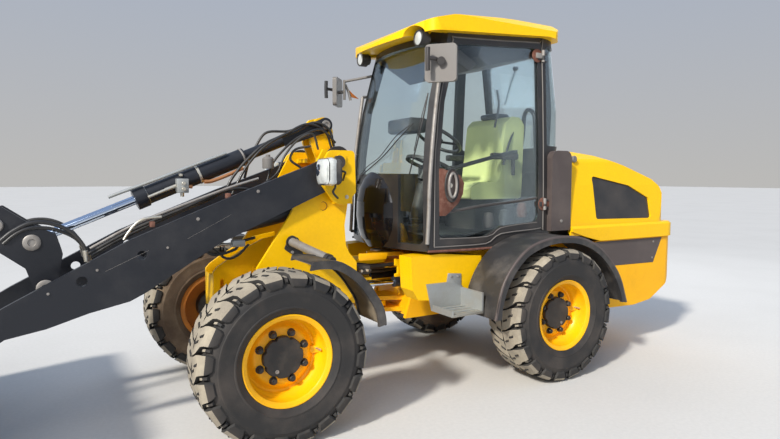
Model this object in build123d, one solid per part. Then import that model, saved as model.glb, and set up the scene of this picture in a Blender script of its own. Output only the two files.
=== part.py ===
from build123d import *
import math
import os

# Compact articulated wheel loader in millimetres: +X forward, +Y left, +Z up, wheels standing on Z 0.
# Values are given from the point midway between the axles and moved at export, so that X 0 is mid length.

# Wheels and axles
AXLE_X = 1040.0
WHEEL_Y = 765.0
TYRE_R = 480.0
TYRE_W = 330.0
LUG_H = 36.0
LUGS = 20
RIM_R = 253.0
RIM_SEAT_R = 230.0
FLANGE_Y = 142.0
DISC_Y = 24.0
HUB_R = 118.0
HUB_OUT = 66.0
SPINDLE_R = 40.0
RUN = 0.5
WHEEL_Z = TYRE_R

# Articulation and steering
ART_X = 0.0
PIN_R = 30.0
ART_UP_Z = 850.0
ART_LOW_Z = 520.0
STEER_Y = 185.0
STEER_Z = 700.0
STEER_BACK_X = -480.0
STEER_FRONT_X = 200.0
STEER_BARREL_R = 38.0
STEER_ROD_R = 19.0
STEER_BARREL_L = 440.0

# Lift arms
ARM_X, ARM_Z = 470.0, 1580.0
ARM_Y0, ARM_Y1 = 303.0, 339.0
TIP_X, TIP_Z = 2600.0, 420.0
ARM_BOSS_R = 80.0
TIP_BOSS_R = 62.0
LIFT_BASE_X, LIFT_BASE_Z = 560.0, 1270.0
LIFT_PIN_X, LIFT_PIN_Z = 1500.0, 1075.0
LIFT_Y = 205.0
LIFT_BARREL_R = 50.0
LIFT_ROD_R = 26.0
LIFT_BARREL_L = 700.0

# Tilt linkage
TILT_BASE_X, TILT_BASE_Z = 448.0, 1816.0
TILT_PIN_X, TILT_PIN_Z = 2196.0, 1100.0
TILT_NECK_L = 590.0
TILT_BARREL_L = 720.0
TILT_BARREL_R = 56.0
TILT_NECK_R = 36.0
TILT_ROD_R = 27.0
LEVER_X, LEVER_Z = 2140.0, 850.0
LEVER_TOP_X, LEVER_TOP_Z = 2360.0, 1200.0
LEVER_Y0, LEVER_Y1 = 68.0, 92.0
HITCH_TOP_X, HITCH_TOP_Z = 2700.0, 740.0

# Frames and body
TOWER_Y0, TOWER_Y1 = 270.0, 294.0
EAR_Y0, EAR_Y1 = 348.0, 372.0
FRAME_Y = 240.0
FRAME_T = 30.0
NOSE_Y = 105.0
BUCKET_W = 1850.0
GROUND_GAP = 6.0
REAR_X = -2738.0
EDGE_X = 3480.0
HOOD_Y = 600.0
TOW_X = -2700.0
TOW_R = 16.0
CAB_GLASS_T = 6.0
HINGE_X, HINGE_Y = -1150.0, 572.0
HINGE_LEAN = 0.0418
LID_X, LID_Z = -1416.0, 1630.0
LID_Y = 330.0
CAB_WALL = 40.0
CAB_FLOOR_Z = 955.0
FIT = 0.3

MID_X = (REAR_X + EDGE_X) / 2.0
os.makedirs("parts", exist_ok=True)
NODES = {}


def outline_of(points, radius=0.0):
    outline = Polygon(*[point[:2] for point in points], align=None)
    if radius:
        outline = fillet(outline.vertices(), radius)
    for point in points:
        if len(point) > 2:
            corner = outline.vertices().sort_by_distance(Vector(point[0], point[1], 0))[0]
            outline = fillet(corner, point[2])
    return outline


def plate(points, y_low, y_high, radius=0.0, inset=0.0):
    outline = outline_of(points, radius)
    if inset:
        outline = offset(outline, -inset)
    return extrude(Plane.XZ.offset(-y_high) * outline, y_high - y_low, dir=(0, -1, 0))


def slab(points, z_low, z_high, radius=0.0):
    return extrude(Plane.XY.offset(z_low) * outline_of(points, radius), z_high - z_low, dir=(0, 0, 1))


def section(points, x_low, x_high, radius=0.0):
    return extrude(Plane.YZ.offset(x_low) * outline_of(points, radius), x_high - x_low, dir=(1, 0, 0))


def towards(points, centre, distance):
    return [(centre[0] + (x - centre[0]) * (1 - distance / math.dist((x, z), centre)),
             centre[1] + (z - centre[1]) * (1 - distance / math.dist((x, z), centre))) for x, z in points]


def arc_band(points, centre, outside, inside, y_low, y_high):
    outer = towards(points, centre, -outside)
    inner = towards(points, centre, inside)
    lines = [Line(outer[0], inner[0]), Line(outer[-1], inner[-1])]
    for row in (outer, inner):
        lines += [ThreePointArc(row[i], row[i + 1], row[i + 2]) for i in range(0, len(row) - 2, 2)]
    face = make_face(Curve() + lines)
    return extrude(Plane.XZ.offset(-y_high) * face, y_high - y_low, dir=(0, -1, 0))


def block(x0, x1, y0, y1, z0, z1):
    return Pos((x0 + x1) / 2, (y0 + y1) / 2, (z0 + z1) / 2) * Box(abs(x1 - x0), abs(y1 - y0), abs(z1 - z0))


def disc_y(x, z, radius, y0, y1):
    return Pos(x, (y0 + y1) / 2, z) * Rot(90, 0, 0) * Cylinder(radius, abs(y1 - y0))


def disc_z(x, y, radius, z0, z1):
    return Pos(x, y, (z0 + z1) / 2) * Cylinder(radius, abs(z1 - z0))


def bar(start, end, radius):
    a, b = Vector(*start), Vector(*end)
    return Plane(origin=a, z_dir=b - a) * Cylinder(
        radius, (b - a).length, align=(Align.CENTER, Align.CENTER, Align.MIN)
    )


def along(start, end, distance):
    length = math.dist(start, end)
    return tuple(a + (b - a) * distance / length for a, b in zip(start, end))


def mirror_y(shape):
    return mirror(shape, about=Plane.XZ)


def both(shape):
    return shape + mirror_y(shape)


def put(name, shape):
    NODES[name] = shape


# Wheels: rims, tyres
def ring_profile(points, radius=0.0):
    outline = Polygon(*points, align=None)
    return revolve(Plane.XY * outline, Axis.Y)


rim = ring_profile([
    (RIM_SEAT_R - 8, -FLANGE_Y), (RIM_R, -FLANGE_Y), (RIM_R, -FLANGE_Y + 9), (RIM_SEAT_R, -FLANGE_Y + 12),
    (RIM_SEAT_R, -45), (RIM_SEAT_R - 22, -30), (RIM_SEAT_R - 22, 30), (RIM_SEAT_R, 45),
    (RIM_SEAT_R, FLANGE_Y - 12), (RIM_R, FLANGE_Y - 9), (RIM_R, FLANGE_Y), (RIM_SEAT_R - 8, FLANGE_Y),
    (RIM_SEAT_R - 8, 52), (RIM_SEAT_R - 30, 34), (RIM_SEAT_R - 30, -34), (RIM_SEAT_R - 8, -52),
])
disc = ring_profile([
    (60, DISC_Y - 8), (150, DISC_Y - 8), (172, DISC_Y - 16), (RIM_SEAT_R - 26, DISC_Y - 16),
    (RIM_SEAT_R - 26, DISC_Y), (178, DISC_Y), (156, DISC_Y + 8), (60, DISC_Y + 8),
])
hub = ring_profile([
    (0, DISC_Y - 30), (HUB_R + 40, DISC_Y - 30), (HUB_R + 40, DISC_Y - 6), (HUB_R, DISC_Y),
    (HUB_R, HUB_OUT - 8),
    (HUB_R - 10, HUB_OUT), (0, HUB_OUT),
])
wheel = rim + disc + hub - disc_y(0, 0, SPINDLE_R + RUN, DISC_Y - 40, DISC_Y - 2)
NUT_CIRCLE_R = 138.0
NUT_COUNT = 8
for i in range(NUT_COUNT):
    angle = math.radians(360 * (i + 0.5) / NUT_COUNT)
    nut_x, nut_z = NUT_CIRCLE_R * math.cos(angle), NUT_CIRCLE_R * math.sin(angle)
    wheel += disc_y(nut_x, nut_z, 14, DISC_Y, DISC_Y + 34)

HALF_W = TYRE_W / 2
CROWN_R = TYRE_R - LUG_H
carcass = ring_profile([
    (RIM_SEAT_R + FIT, -FLANGE_Y + 12.6), (RIM_R + FIT, -FLANGE_Y + 9.6), (RIM_R + 35, -HALF_W + 8),
    (385, -HALF_W), (CROWN_R - 8, -HALF_W + 40), (CROWN_R, 0), (CROWN_R - 8, HALF_W - 40), (385, HALF_W),
    (RIM_R + 35, HALF_W - 8), (RIM_R + FIT, FLANGE_Y - 9.6), (RIM_SEAT_R + FIT, FLANGE_Y - 12.6),
])
LUG_TOP = math.sqrt(TYRE_R ** 2 - 42.0 ** 2)
lug = Pos(0, 84, 0) * extrude(
    Plane.XY.offset(CROWN_R - 30) * Polygon(
        (-42, 72), (20, 72), (40, -70), (12, -94), (-18, -20), align=None
    ), LUG_TOP - CROWN_R + 30, dir=(0, 0, 1)
)
lug = lug & extrude(Plane.YZ * Polygon(
    (-60, 300), (HALF_W, 300), (HALF_W, 455), (HALF_W - 42, TYRE_R + 20), (-60, TYRE_R + 20), align=None
), 120, both=True)
lugs = []
for i in range(LUGS):
    step = 360.0 / LUGS
    lugs.append(Rot(0, step * i, 0) * lug)
    lugs.append(Rot(0, step * (i + 0.5), 0) * mirror_y(lug))
tyre = carcass + lugs

# name, sign along X, sign along Y
WHEELS = [("front_left", 1, 1), ("front_right", 1, -1), ("rear_left", -1, 1), ("rear_right", -1, -1)]
for place, sx, sy in WHEELS:
    here = Pos(sx * AXLE_X, sy * WHEEL_Y, WHEEL_Z)
    put("wheel_" + place, here * (wheel if sy > 0 else mirror_y(wheel)))
    put("tyre_" + place, here * (tyre if sy > 0 else mirror_y(tyre)))

# Axles
AXLE_END_Y = WHEEL_Y + DISC_Y - 36.0
for place, sx in (("front", 1), ("rear", -1)):
    x = sx * AXLE_X
    axle = block(x - 65, x + 65, -AXLE_END_Y + 130, AXLE_END_Y - 130, WHEEL_Z - 60, WHEEL_Z + 60)
    axle += disc_y(x, WHEEL_Z, 58, -AXLE_END_Y, AXLE_END_Y)
    axle += disc_y(x, WHEEL_Z, 150, -95, 95)
    axle += both(disc_y(x, WHEEL_Z, 120, AXLE_END_Y - 90, AXLE_END_Y))
    axle += both(disc_y(x, WHEEL_Z, SPINDLE_R, AXLE_END_Y - 2, AXLE_END_Y + 26))
    put(place + "_axle", axle)

# Front frame: tower plates, outer ears, nose and articulation lugs
tower_plate = plate([
    (388, 1640), (560, 1640), (690, 1400), (800, 1205), (975, 945), (1010, 895), (1010, 560), (420, 590),
    (318, 690), (318, 885), (372, 950), (398, 1000), (408, 1140), (385, 1283),
], TOWER_Y0, TOWER_Y1)
tower_plate -= disc_y(LIFT_BASE_X, LIFT_BASE_Z, 30, TOWER_Y0 + 12, TOWER_Y1 + 5)
nose_plate = plate([
    (760, 620), (1232, 600), (1232, 862, 16), (1205, 892), (1142, 934), (1044, 992), (910, 1055), (760, 1082),
], NOSE_Y - 20, NOSE_Y)
nose_plate -= plate([(1164, 700), (1190, 700), (1190, 815), (1164, 815)], NOSE_Y - 30, NOSE_Y + 10, 12.5)
ear = plate([
    (372, 1632, 30), (552, 1632, 45), (588, 1570, 40), (604, 1410, 40), (520, 1296, 40),
    (440, 1274, 40), (362, 1360, 30),
], EAR_Y0, EAR_Y1)
ear_foot = block(378, 500, TOWER_Y1 - 2, EAR_Y0 + 2, 1285, 1360)
front_frame = both(tower_plate + nose_plate + ear + ear_foot)
front_frame += both(disc_y(ARM_X, ARM_Z, 34, TOWER_Y0, EAR_Y1 + 8))
front_frame += block(322, 390, -TOWER_Y0 - 2, TOWER_Y0 + 2, 600, 890)
front_frame += block(420, 1010, -TOWER_Y0 - 2, TOWER_Y0 + 2, 560, 590)
front_frame += block(950, 980, -TOWER_Y0 - 2, TOWER_Y0 + 2, 590, 880)
front_frame += block(1202, 1232, -NOSE_Y + 5, NOSE_Y - 5, 600, 840)
front_frame += plate([(392, 1290), (422, 1290), (422, 1640), (392, 1640)], -TOWER_Y0 - 2, TOWER_Y0 + 2)
peak = plate([
    (392, 1560), (500, 1560), (560, 1700, 60), (520, 1855, 45), (440, 1875, 40), (388, 1780, 60),
], 52, 76)
front_frame += both(peak)
front_frame += both(block(404, 520, 70, TOWER_Y0 + 2, 1560, 1590))
front_frame += both(plate([
    (415, 1200), (560, 1215), (598, 1270), (560, 1325), (415, 1330),
], LIFT_Y - 68, LIFT_Y - 56))
front_frame += block(392, 430, -TOWER_Y0 - 2, TOWER_Y0 + 2, 1200, 1300)
front_frame += slab([(-10, -70), (330, -120), (330, 120), (-10, 70)], ART_UP_Z - 20, ART_UP_Z + 20)
front_frame += disc_z(ART_X, 0, 72, ART_UP_Z - 20, ART_UP_Z + 20)
front_frame += slab([(-10, -70), (330, -120), (430, -120), (430, 120), (330, 120), (-10, 70)],
                    ART_LOW_Z - 20, ART_LOW_Z + 20)
front_frame += disc_z(ART_X, 0, 72, ART_LOW_Z - 20, ART_LOW_Z + 20)
front_frame += block(390, 430, -120, 120, ART_LOW_Z - 20, 720)
front_frame += both(block(STEER_FRONT_X - 35, 330, STEER_Y - 40, STEER_Y + 40, STEER_Z + 38, STEER_Z + 58))
front_frame += both(block(STEER_FRONT_X - 35, 330, STEER_Y - 40, STEER_Y + 40, STEER_Z - 58, STEER_Z - 38))
front_frame -= both(block(315, 400, STEER_Y - 58, FRAME_Y + 22, STEER_Z - 38, STEER_Z + 38))
for hole_z in (ART_UP_Z, ART_LOW_Z):
    front_frame -= disc_z(ART_X, 0, PIN_R + RUN, hole_z - 40, hole_z + 40)
front_frame -= disc_y(AXLE_X, WHEEL_Z, 150 + FIT, -96, 96)
front_frame += both(block(960, 1120, 150, FRAME_Y + 20, WHEEL_Z + 60 + FIT, 600))
put("front_frame", front_frame)

# Front fenders: arches over the rear quarter of the front wheels
FRONT_ARCH = [(905, 1002), (820, 1004), (738, 990), (606, 900), (516, 785), (468, 700), (452, 608)]
HUB_FRONT = (AXLE_X, WHEEL_Z)
fender = arc_band(FRONT_ARCH, HUB_FRONT, 0.0, 10.0, 612, 905)
fender += arc_band(FRONT_ARCH, HUB_FRONT, 4.0, 46.0, 900, 922)
fender += arc_band(FRONT_ARCH, HUB_FRONT, 4.0, 26.0, 604, 620)
fender_tube = bar((795, TOWER_Y1 + 12, 1052), (706, 745, 975), 24)
fender_tube -= arc_band(FRONT_ARCH, HUB_FRONT, -5.0, 80.0, 560, 800)
flange = outline_of([(745, 1078, 14), (812, 1062, 14), (836, 1004, 14), (690, 905, 14)])
fender_tube += extrude(Plane.XZ.offset(-TOWER_Y1 - 12) * flange, 12 - FIT, dir=(0, -1, 0))
put("fender_front_left", fender + fender_tube)
put("fender_front_right", mirror_y(fender + fender_tube))

# Headlights on the outer ears
headlight = block(560, 655, 405, 590, 1412, 1572)
headlight = fillet(headlight.edges().filter_by(Axis.X), 34)
headlight = fillet(headlight.edges().group_by(Axis.X)[0], 24)
headlight += block(520, 566, 450, 490, 1480, 1520) + block(520, 545, EAR_Y1 + FIT, 490, 1485, 1515)
headlight -= block(649, 660, 419, 576, 1426, 1558)
lens = Cylinder(58, 10, align=(Align.CENTER, Align.CENTER, Align.MIN))
headlight += Pos(649, 497.5, 1492) * Rot(0, 90, 0) * lens
put("headlights", both(headlight))

# Lift arms with cross tubes
ARM_SIDE = [
    (452, 1640), (653, 1540), (1109, 1368), (1724, 1117), (2057, 942), (2319, 805), (2470, 715), (2640, 470),
    (2560, 380), (2450, 560), (2326, 640), (2142, 672), (1945, 731), (1743, 774), (1664, 812), (1458, 939),
    (1248, 1066), (533, 1378), (445, 1500),
]
arm = plate(ARM_SIDE, ARM_Y0, ARM_Y1) + disc_y(ARM_X, ARM_Z, ARM_BOSS_R, ARM_Y0, ARM_Y1)
arm += disc_y(TIP_X, TIP_Z, TIP_BOSS_R, ARM_Y0, ARM_Y1)
arm -= disc_y(ARM_X, ARM_Z, 34 + RUN, ARM_Y0 - 5, ARM_Y1 + 5)
for hole_x, hole_z, hole_r in ((1675, 1025, 26), (1974, 905, 27)):
    arm -= disc_y(hole_x, hole_z, hole_r, ARM_Y0 - 5, ARM_Y1 + 5)
CROSS_R = 48.0
arms = both(arm) + disc_y(LEVER_X - 60, LEVER_Z - 110, CROSS_R, -ARM_Y0 - 2, ARM_Y0 + 2)
arms += both(plate([
    (LEVER_X - 100, LEVER_Z - 150), (LEVER_X - 10, LEVER_Z - 150), (LEVER_X + 42, LEVER_Z),
    (LEVER_X, LEVER_Z + 42), (LEVER_X - 45, LEVER_Z + 20),
], LEVER_Y1 + 8, LEVER_Y1 + 30))
arms += disc_y(LEVER_X, LEVER_Z, 24, -LEVER_Y1 - 30, LEVER_Y1 + 30)
arms += disc_y(1640, 930, 45, -ARM_Y0 - 2, ARM_Y0 + 2)
arm_lug = [(1450, 1100), (1500, 1130), (1560, 1100), (1660, 960), (1620, 900), (1560, 960), (1455, 1040)]
arms += both(plate(arm_lug, LIFT_Y + 48, LIFT_Y + 66) + plate(arm_lug, LIFT_Y - 66, LIFT_Y - 48))
arms += both(disc_y(TIP_X, TIP_Z, 30, ARM_Y0 - 50, ARM_Y1 + 14))
put("lift_arms", arms)

# Tilt lever and link
lever_plate = plate([
    (LEVER_X - 45, LEVER_Z - 40), (LEVER_X + 45, LEVER_Z - 40), (2230, 960), (LEVER_TOP_X + 10, 1075),
    (LEVER_TOP_X + 62, LEVER_TOP_Z), (LEVER_TOP_X + 40, LEVER_TOP_Z + 75),
    (LEVER_TOP_X - 30, LEVER_TOP_Z + 100),
    (2212, 1212), (2080, 1140), (2050, 1030), (2075, 900),
], LEVER_Y0, LEVER_Y1, 16)
lever = both(lever_plate)
lever += disc_y(LEVER_TOP_X, LEVER_TOP_Z, 26, -LEVER_Y1 - 6, LEVER_Y1 + 6)
lever += disc_y(LEVER_X, LEVER_Z, 48, -LEVER_Y1, LEVER_Y1)
lever -= disc_y(LEVER_X, LEVER_Z, 24 + FIT, -LEVER_Y1 - 8, LEVER_Y1 + 8)
put("tilt_lever", lever)

link = bar((LEVER_TOP_X, 0, LEVER_TOP_Z), (HITCH_TOP_X, 0, HITCH_TOP_Z), 26)
link += disc_y(LEVER_TOP_X, LEVER_TOP_Z, 48, -50, 50) + disc_y(HITCH_TOP_X, HITCH_TOP_Z, 38, -44, 44)
link -= disc_y(LEVER_TOP_X, LEVER_TOP_Z, 26 + FIT, -60, 60)
put("tilt_link", link)

# Quick hitch
hitch = both(plate([
    (2560, 360), (2640, 340), (2716, 180), (2760, 180), (2760, 860), (2716, 860), (2640, 850),
    (2600, 480), (2545, 430),
], ARM_Y0 - 36, ARM_Y0 - 12))
hitch -= both(disc_y(TIP_X, TIP_Z, 30 + FIT, ARM_Y0 - 60, ARM_Y0))
hitch += block(2724, 2760, -430, 430, 800, 860) + block(2724, 2760, -430, 430, 180, 260)
hitch += both(block(2724, 2760, 267, 330, 180, 860))
hitch += both(plate([
    (HITCH_TOP_X - 42, HITCH_TOP_Z), (HITCH_TOP_X - 20, HITCH_TOP_Z - 40), (2752, 650), (2752, 830),
    (HITCH_TOP_X - 20, HITCH_TOP_Z + 40),
], 58, 80))
hitch += block(2750, 2760, -100, 100, 200, 860)
hitch += both(disc_y(HITCH_TOP_X, HITCH_TOP_Z, 26, 52, 90))
put("quick_hitch", hitch)

# Bucket
BUCKET_Z = GROUND_GAP
BUCKET_X = 2760.0 + FIT
BUCKET_H = 870.0
bucket_side = [
    (BUCKET_X, BUCKET_Z + BUCKET_H), (BUCKET_X, BUCKET_Z + 170), (2830, BUCKET_Z + 40), (2930, BUCKET_Z),
    (EDGE_X - 40, BUCKET_Z), (EDGE_X - 40, BUCKET_Z + 30), (3330, BUCKET_Z + 120), (3160, BUCKET_Z + 560),
    (2960, BUCKET_Z + BUCKET_H),
]
bucket_skin = [
    (BUCKET_X, BUCKET_Z + BUCKET_H), (BUCKET_X, BUCKET_Z + 170), (2830, BUCKET_Z + 40), (2930, BUCKET_Z),
    (EDGE_X - 150, BUCKET_Z), (EDGE_X - 150, BUCKET_Z + 14), (2936, BUCKET_Z + 14), (2842, BUCKET_Z + 52),
    (2780, BUCKET_Z + 174), (2780, BUCKET_Z + BUCKET_H - 16), (2900, BUCKET_Z + BUCKET_H - 16),
    (2900, BUCKET_Z + BUCKET_H),
]
HALF_BUCKET = BUCKET_W / 2
bucket = plate(bucket_skin, -HALF_BUCKET, HALF_BUCKET)
bucket += both(plate(bucket_side, HALF_BUCKET - 16, HALF_BUCKET))
bucket += plate([
    (EDGE_X - 200, BUCKET_Z), (EDGE_X, BUCKET_Z), (EDGE_X - 24, BUCKET_Z + 24), (EDGE_X - 200, BUCKET_Z + 24),
], -HALF_BUCKET, HALF_BUCKET)
bucket += block(BUCKET_X, 2800, -HALF_BUCKET, HALF_BUCKET, BUCKET_Z + BUCKET_H - 90, BUCKET_Z + BUCKET_H)
put("bucket", bucket)

# Tilt cylinder: neck on the tower, barrel, rod
t0 = (TILT_BASE_X, 0.0, TILT_BASE_Z)
t1 = (TILT_PIN_X, 0.0, TILT_PIN_Z)
barrel_back = along(t0, t1, TILT_NECK_L)
barrel_front = along(t0, t1, TILT_NECK_L + TILT_BARREL_L)
neck = bar(t0, along(t0, t1, TILT_NECK_L + 30), TILT_NECK_R)
neck += disc_y(TILT_BASE_X, TILT_BASE_Z, 46, -46, 46)
neck -= disc_y(TILT_BASE_X, TILT_BASE_Z, 24 + FIT, -60, 60)
put("tilt_neck", neck)
barrel = bar(barrel_back, barrel_front, TILT_BARREL_R)
barrel -= bar(barrel_back, along(t0, t1, TILT_NECK_L + 330), TILT_NECK_R + 1)
barrel_end = along(t0, t1, TILT_NECK_L + TILT_BARREL_L + 2)
barrel -= bar(along(t0, t1, TILT_NECK_L + 330), barrel_end, TILT_ROD_R + 1)
barrel += bar(along(t0, t1, TILT_NECK_L + TILT_BARREL_L - 70), barrel_front, TILT_BARREL_R + 9) - bar(
    along(t0, t1, TILT_NECK_L + TILT_BARREL_L - 90), barrel_end, TILT_ROD_R + 1
)
put("tilt_barrel", barrel)
rod = bar(along(t0, t1, TILT_NECK_L + TILT_BARREL_L - 300), along(t0, t1, math.dist(t0, t1) - 20), TILT_ROD_R)
rod += disc_y(TILT_PIN_X, TILT_PIN_Z, 46, -50, 50)
rod += disc_y(TILT_PIN_X, TILT_PIN_Z, 22, -LEVER_Y0 + 4, LEVER_Y0 - 4)
put("tilt_rod", rod)
front_pin = disc_y(TILT_BASE_X, TILT_BASE_Z, 24, -80, 80)
NODES["front_frame"] = NODES["front_frame"] + front_pin

# Lift cylinders
for place, sy in (("left", 1), ("right", -1)):
    y = sy * LIFT_Y
    a = (LIFT_BASE_X, y, LIFT_BASE_Z)
    b = (LIFT_PIN_X, y, LIFT_PIN_Z)
    body = bar(along(a, b, 48), along(a, b, LIFT_BARREL_L), LIFT_BARREL_R)
    body += disc_y(LIFT_BASE_X, LIFT_BASE_Z, 50, y - 36, y + 36)
    body -= disc_y(LIFT_BASE_X, LIFT_BASE_Z, 24 + FIT, y - 60, y + 60)
    body -= bar(along(a, b, 240), along(a, b, LIFT_BARREL_L + 2), LIFT_ROD_R + 1)
    put("lift_barrel_" + place, body)
    stem = bar(along(a, b, 270), along(a, b, math.dist(a, b) - 20), LIFT_ROD_R)
    stem += disc_y(LIFT_PIN_X, LIFT_PIN_Z, 46, y - 36, y + 36)
    stem += disc_y(LIFT_PIN_X, LIFT_PIN_Z, 22, y - 43, y + 43)
    put("lift_rod_" + place, stem)
    pin = disc_y(LIFT_BASE_X, LIFT_BASE_Z, 24, y - 67, y + 67)
    NODES["front_frame"] = NODES["front_frame"] + pin

# Steering cylinders
for place, sy in (("left", 1), ("right", -1)):
    y = sy * STEER_Y
    a = (STEER_BACK_X, y, STEER_Z)
    b = (STEER_FRONT_X, y, STEER_Z)
    body = bar(along(a, b, 36), along(a, b, STEER_BARREL_L), STEER_BARREL_R)
    body += bar(along(a, b, 15), along(a, b, 60), 26)
    body += disc_z(STEER_BACK_X, y, 34, STEER_Z - 30, STEER_Z + 30)
    body -= disc_z(STEER_BACK_X, y, 18 + FIT, STEER_Z - 60, STEER_Z + 60)
    body -= bar(along(a, b, 80), along(a, b, STEER_BARREL_L + 2), STEER_ROD_R + 1)
    put("steer_barrel_" + place, body)
    stem = bar(along(a, b, 240), along(a, b, math.dist(a, b) - 12), STEER_ROD_R)
    stem += disc_z(STEER_FRONT_X, y, 30, STEER_Z - 30, STEER_Z + 30)
    put("steer_rod_" + place, stem)

# Rear frame
rear_frame = both(plate([
    (-90, 440), (-150, 620), (-150, 900), (-560, 900), (-2500, 900), (-2500, 560), (-1500, 560),
    (-1250, 700), (-830, 700), (-700, 440),
], FRAME_Y, FRAME_Y + FRAME_T))
rear_frame += block(-190, -150, -FRAME_Y - 2, FRAME_Y + 2, 440, 900)
rear_frame += block(-700, -150, -FRAME_Y - 2, FRAME_Y + 2, 440, 460)
rear_frame += block(-2500, -2460, -FRAME_Y - 2, FRAME_Y + 2, 560, 880)
for lug_z in (ART_UP_Z, ART_LOW_Z):
    for side in (1, -1):
        z0 = lug_z + side * 28
        z1 = lug_z + side * 58
        low, high = min(z0, z1), max(z0, z1)
        rear_frame += slab([(10, -75), (10, 75), (-150, 130), (-150, -130)], low, high)
        rear_frame += disc_z(ART_X, 0, 76, low, high)
    rear_frame += disc_z(ART_X, 0, PIN_R, lug_z - 64, lug_z + 64)
for z0 in (STEER_Z - 54, STEER_Z + 34):
    rear_frame += both(block(STEER_BACK_X - 45, STEER_BACK_X + 32, STEER_Y - 45, FRAME_Y + 2, z0, z0 + 20))
rear_frame += both(disc_z(STEER_BACK_X, STEER_Y, 18, STEER_Z - 54, STEER_Z + 54))
rear_frame += both(block(-AXLE_X - 90, -AXLE_X + 90, 150, FRAME_Y + FRAME_T, WHEEL_Z + 60 + FIT, 720))
rear_frame -= both(block(
    STEER_BACK_X + 36, -100, FRAME_Y - 50, FRAME_Y + FRAME_T + 20, STEER_Z - 60, STEER_Z + 60
))
rear_frame -= block(-200, -100, -FRAME_Y, FRAME_Y, STEER_Z - 60, STEER_Z + 60)
for mount_x in (-320, -1130):
    rear_frame += both(block(
        mount_x - 50, mount_x + 50, FRAME_Y - 30, FRAME_Y + FRAME_T, 880, CAB_FLOOR_Z - FIT
    ))
put("rear_frame", rear_frame)

# Side tanks under the cab, steps
tank = plate([(40, 925), (25, 700), (-20, 630), (-300, 600), (-560, 640), (-560, 900), (-200, 935)], 392, 545)
tank += block(-540, -180, FRAME_Y + FRAME_T + FIT, 394, 800, 880)
put("tank_left", tank)
put("tank_right", mirror_y(tank))
step_part = block(-385, -125, 575, 785, 548, 562) + block(-385, -373, 549, 785, 548, 690)
step_part += block(-385, -125, 545 + FIT, 575, 548, 562) + block(-137, -125, 560, 785, 548, 590)
step_part += plate([(-385, 548), (-125, 548), (-80, 735), (-250, 735), (-385, 700)], 545 + FIT, 553)
for rib in range(3):
    step_part += block(-373, -137, 590 + 62 * rib, 606 + 62 * rib, 556, 570)
put("step_left", step_part)
put("step_right", mirror_y(step_part))

# Rear fenders
REAR_ARCH = [(-398, 520), (-470, 770), (-640, 958), (-830, 1030), (-1050, 1044), (-1250, 1010), (-1440, 908),
             (-1612, 722), (-1705, 510)]
HUB_REAR = (-AXLE_X, WHEEL_Z)
arch = arc_band(REAR_ARCH, HUB_REAR, 0.0, 14.0, 562, 885) + arc_band(REAR_ARCH, HUB_REAR, 0.0, 46.0, 878, 905)
arch += block(-1090, -990, 555.2, 564, 1016, 1036)
put("fender_rear_left", arch)
put("fender_rear_right", mirror_y(arch))

# Engine as one block
put("engine", block(-2380, -1480, -FRAME_Y + FIT, FRAME_Y - FIT, 600, 1330))

# Cab: tapered shell lofted through level sections
# level, front corner X, half width, front middle X, rear X
CAB_LEVELS = [
    (CAB_FLOOR_Z, -95.0, 556.0, 30.0, -1335.0),
    (1500.0, -112.0, 548.0, 36.0, -1340.0),
    (1720.0, -130.0, 541.0, 14.0, -1392.0),
    (1980.0, -166.0, 528.0, -30.0, -1402.0),
    (2515.0, -298.0, 500.0, -176.0, -1342.0),
]


def cab_ring(level, corner_x, half, nose_x, rear_x, inset):
    c = corner_x - inset
    w = half - inset
    n = nose_x - inset
    r = rear_x + inset
    edge = w - 150.0
    back = r + 150.0
    bulge = 150.0 * (1 - math.sqrt(0.5))
    lines = [
        ThreePointArc((c, -w), (n, 0), (c, w)),
        Line((c, w), (back, w)),
        ThreePointArc((back, w), (r + bulge, w - bulge), (r, edge)),
        Line((r, edge), (r, -edge)),
        ThreePointArc((r, -edge), (r + bulge, bulge - w), (back, -w)),
        Line((back, -w), (c, -w)),
    ]
    return Pos(0, 0, level) * make_face(Curve() + lines)


def cab_solid(inset):
    rows = [list(row) for row in CAB_LEVELS]
    rings = [cab_ring(*row, inset) for row in rows]
    solid = loft([rings[0], rings[1]], ruled=True)
    for low, high in zip(rings[1:], rings[2:]):
        solid += loft([low, high], ruled=True)
    return solid


cab_outer = cab_solid(0.0)
cab_inner = cab_solid(CAB_WALL) & plate([(300, 980), (-2000, 980), (-2000, 2520), (300, 2370)], -900, 900)
cab_shell = cab_outer - cab_inner
DOOR = [
    (-138, 985), (-585, 985), (-730, 1050), (-1150, 1075), (-1150, 2474), (-316, 2416), (-192, 1980),
    (-146, 1600),
    (-138, 1400),
]
DOOR_GLASS = [
    (-180, 1035, 40), (-580, 1035), (-735, 1105), (-1105, 1125, 60), (-1105, 2430, 60), (-350, 2376, 40),
    (-234, 1976), (-188, 1600), (-180, 1400),
]
left_zone = plate(DOOR, 300, 700)
right_zone = plate(DOOR_GLASS, -700, -300)
front_zone = section([(-514, 1000), (514, 1000), (462, 2385), (-462, 2385)], -700, 200, 40)
front_zone -= block(-800, 300, -300, 300, 900, 1480)
rear_zone = section([(-340, 1700), (340, 1700), (320, 2440), (-320, 2440)], -1500, -1250, 40)
QUARTER = [(-1190, 1700, 20), (-1420, 1700), (-1420, 2440), (-1190, 2452, 20)]
quarter_zone = both(plate(QUARTER, 375, 700))
cab_shell -= left_zone
cab_shell -= right_zone
cab_shell -= front_zone
cab_shell -= rear_zone
cab_shell -= quarter_zone
DOOR_HINGES = (1260.0, 2360.0)
door_hinges = Part()
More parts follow.
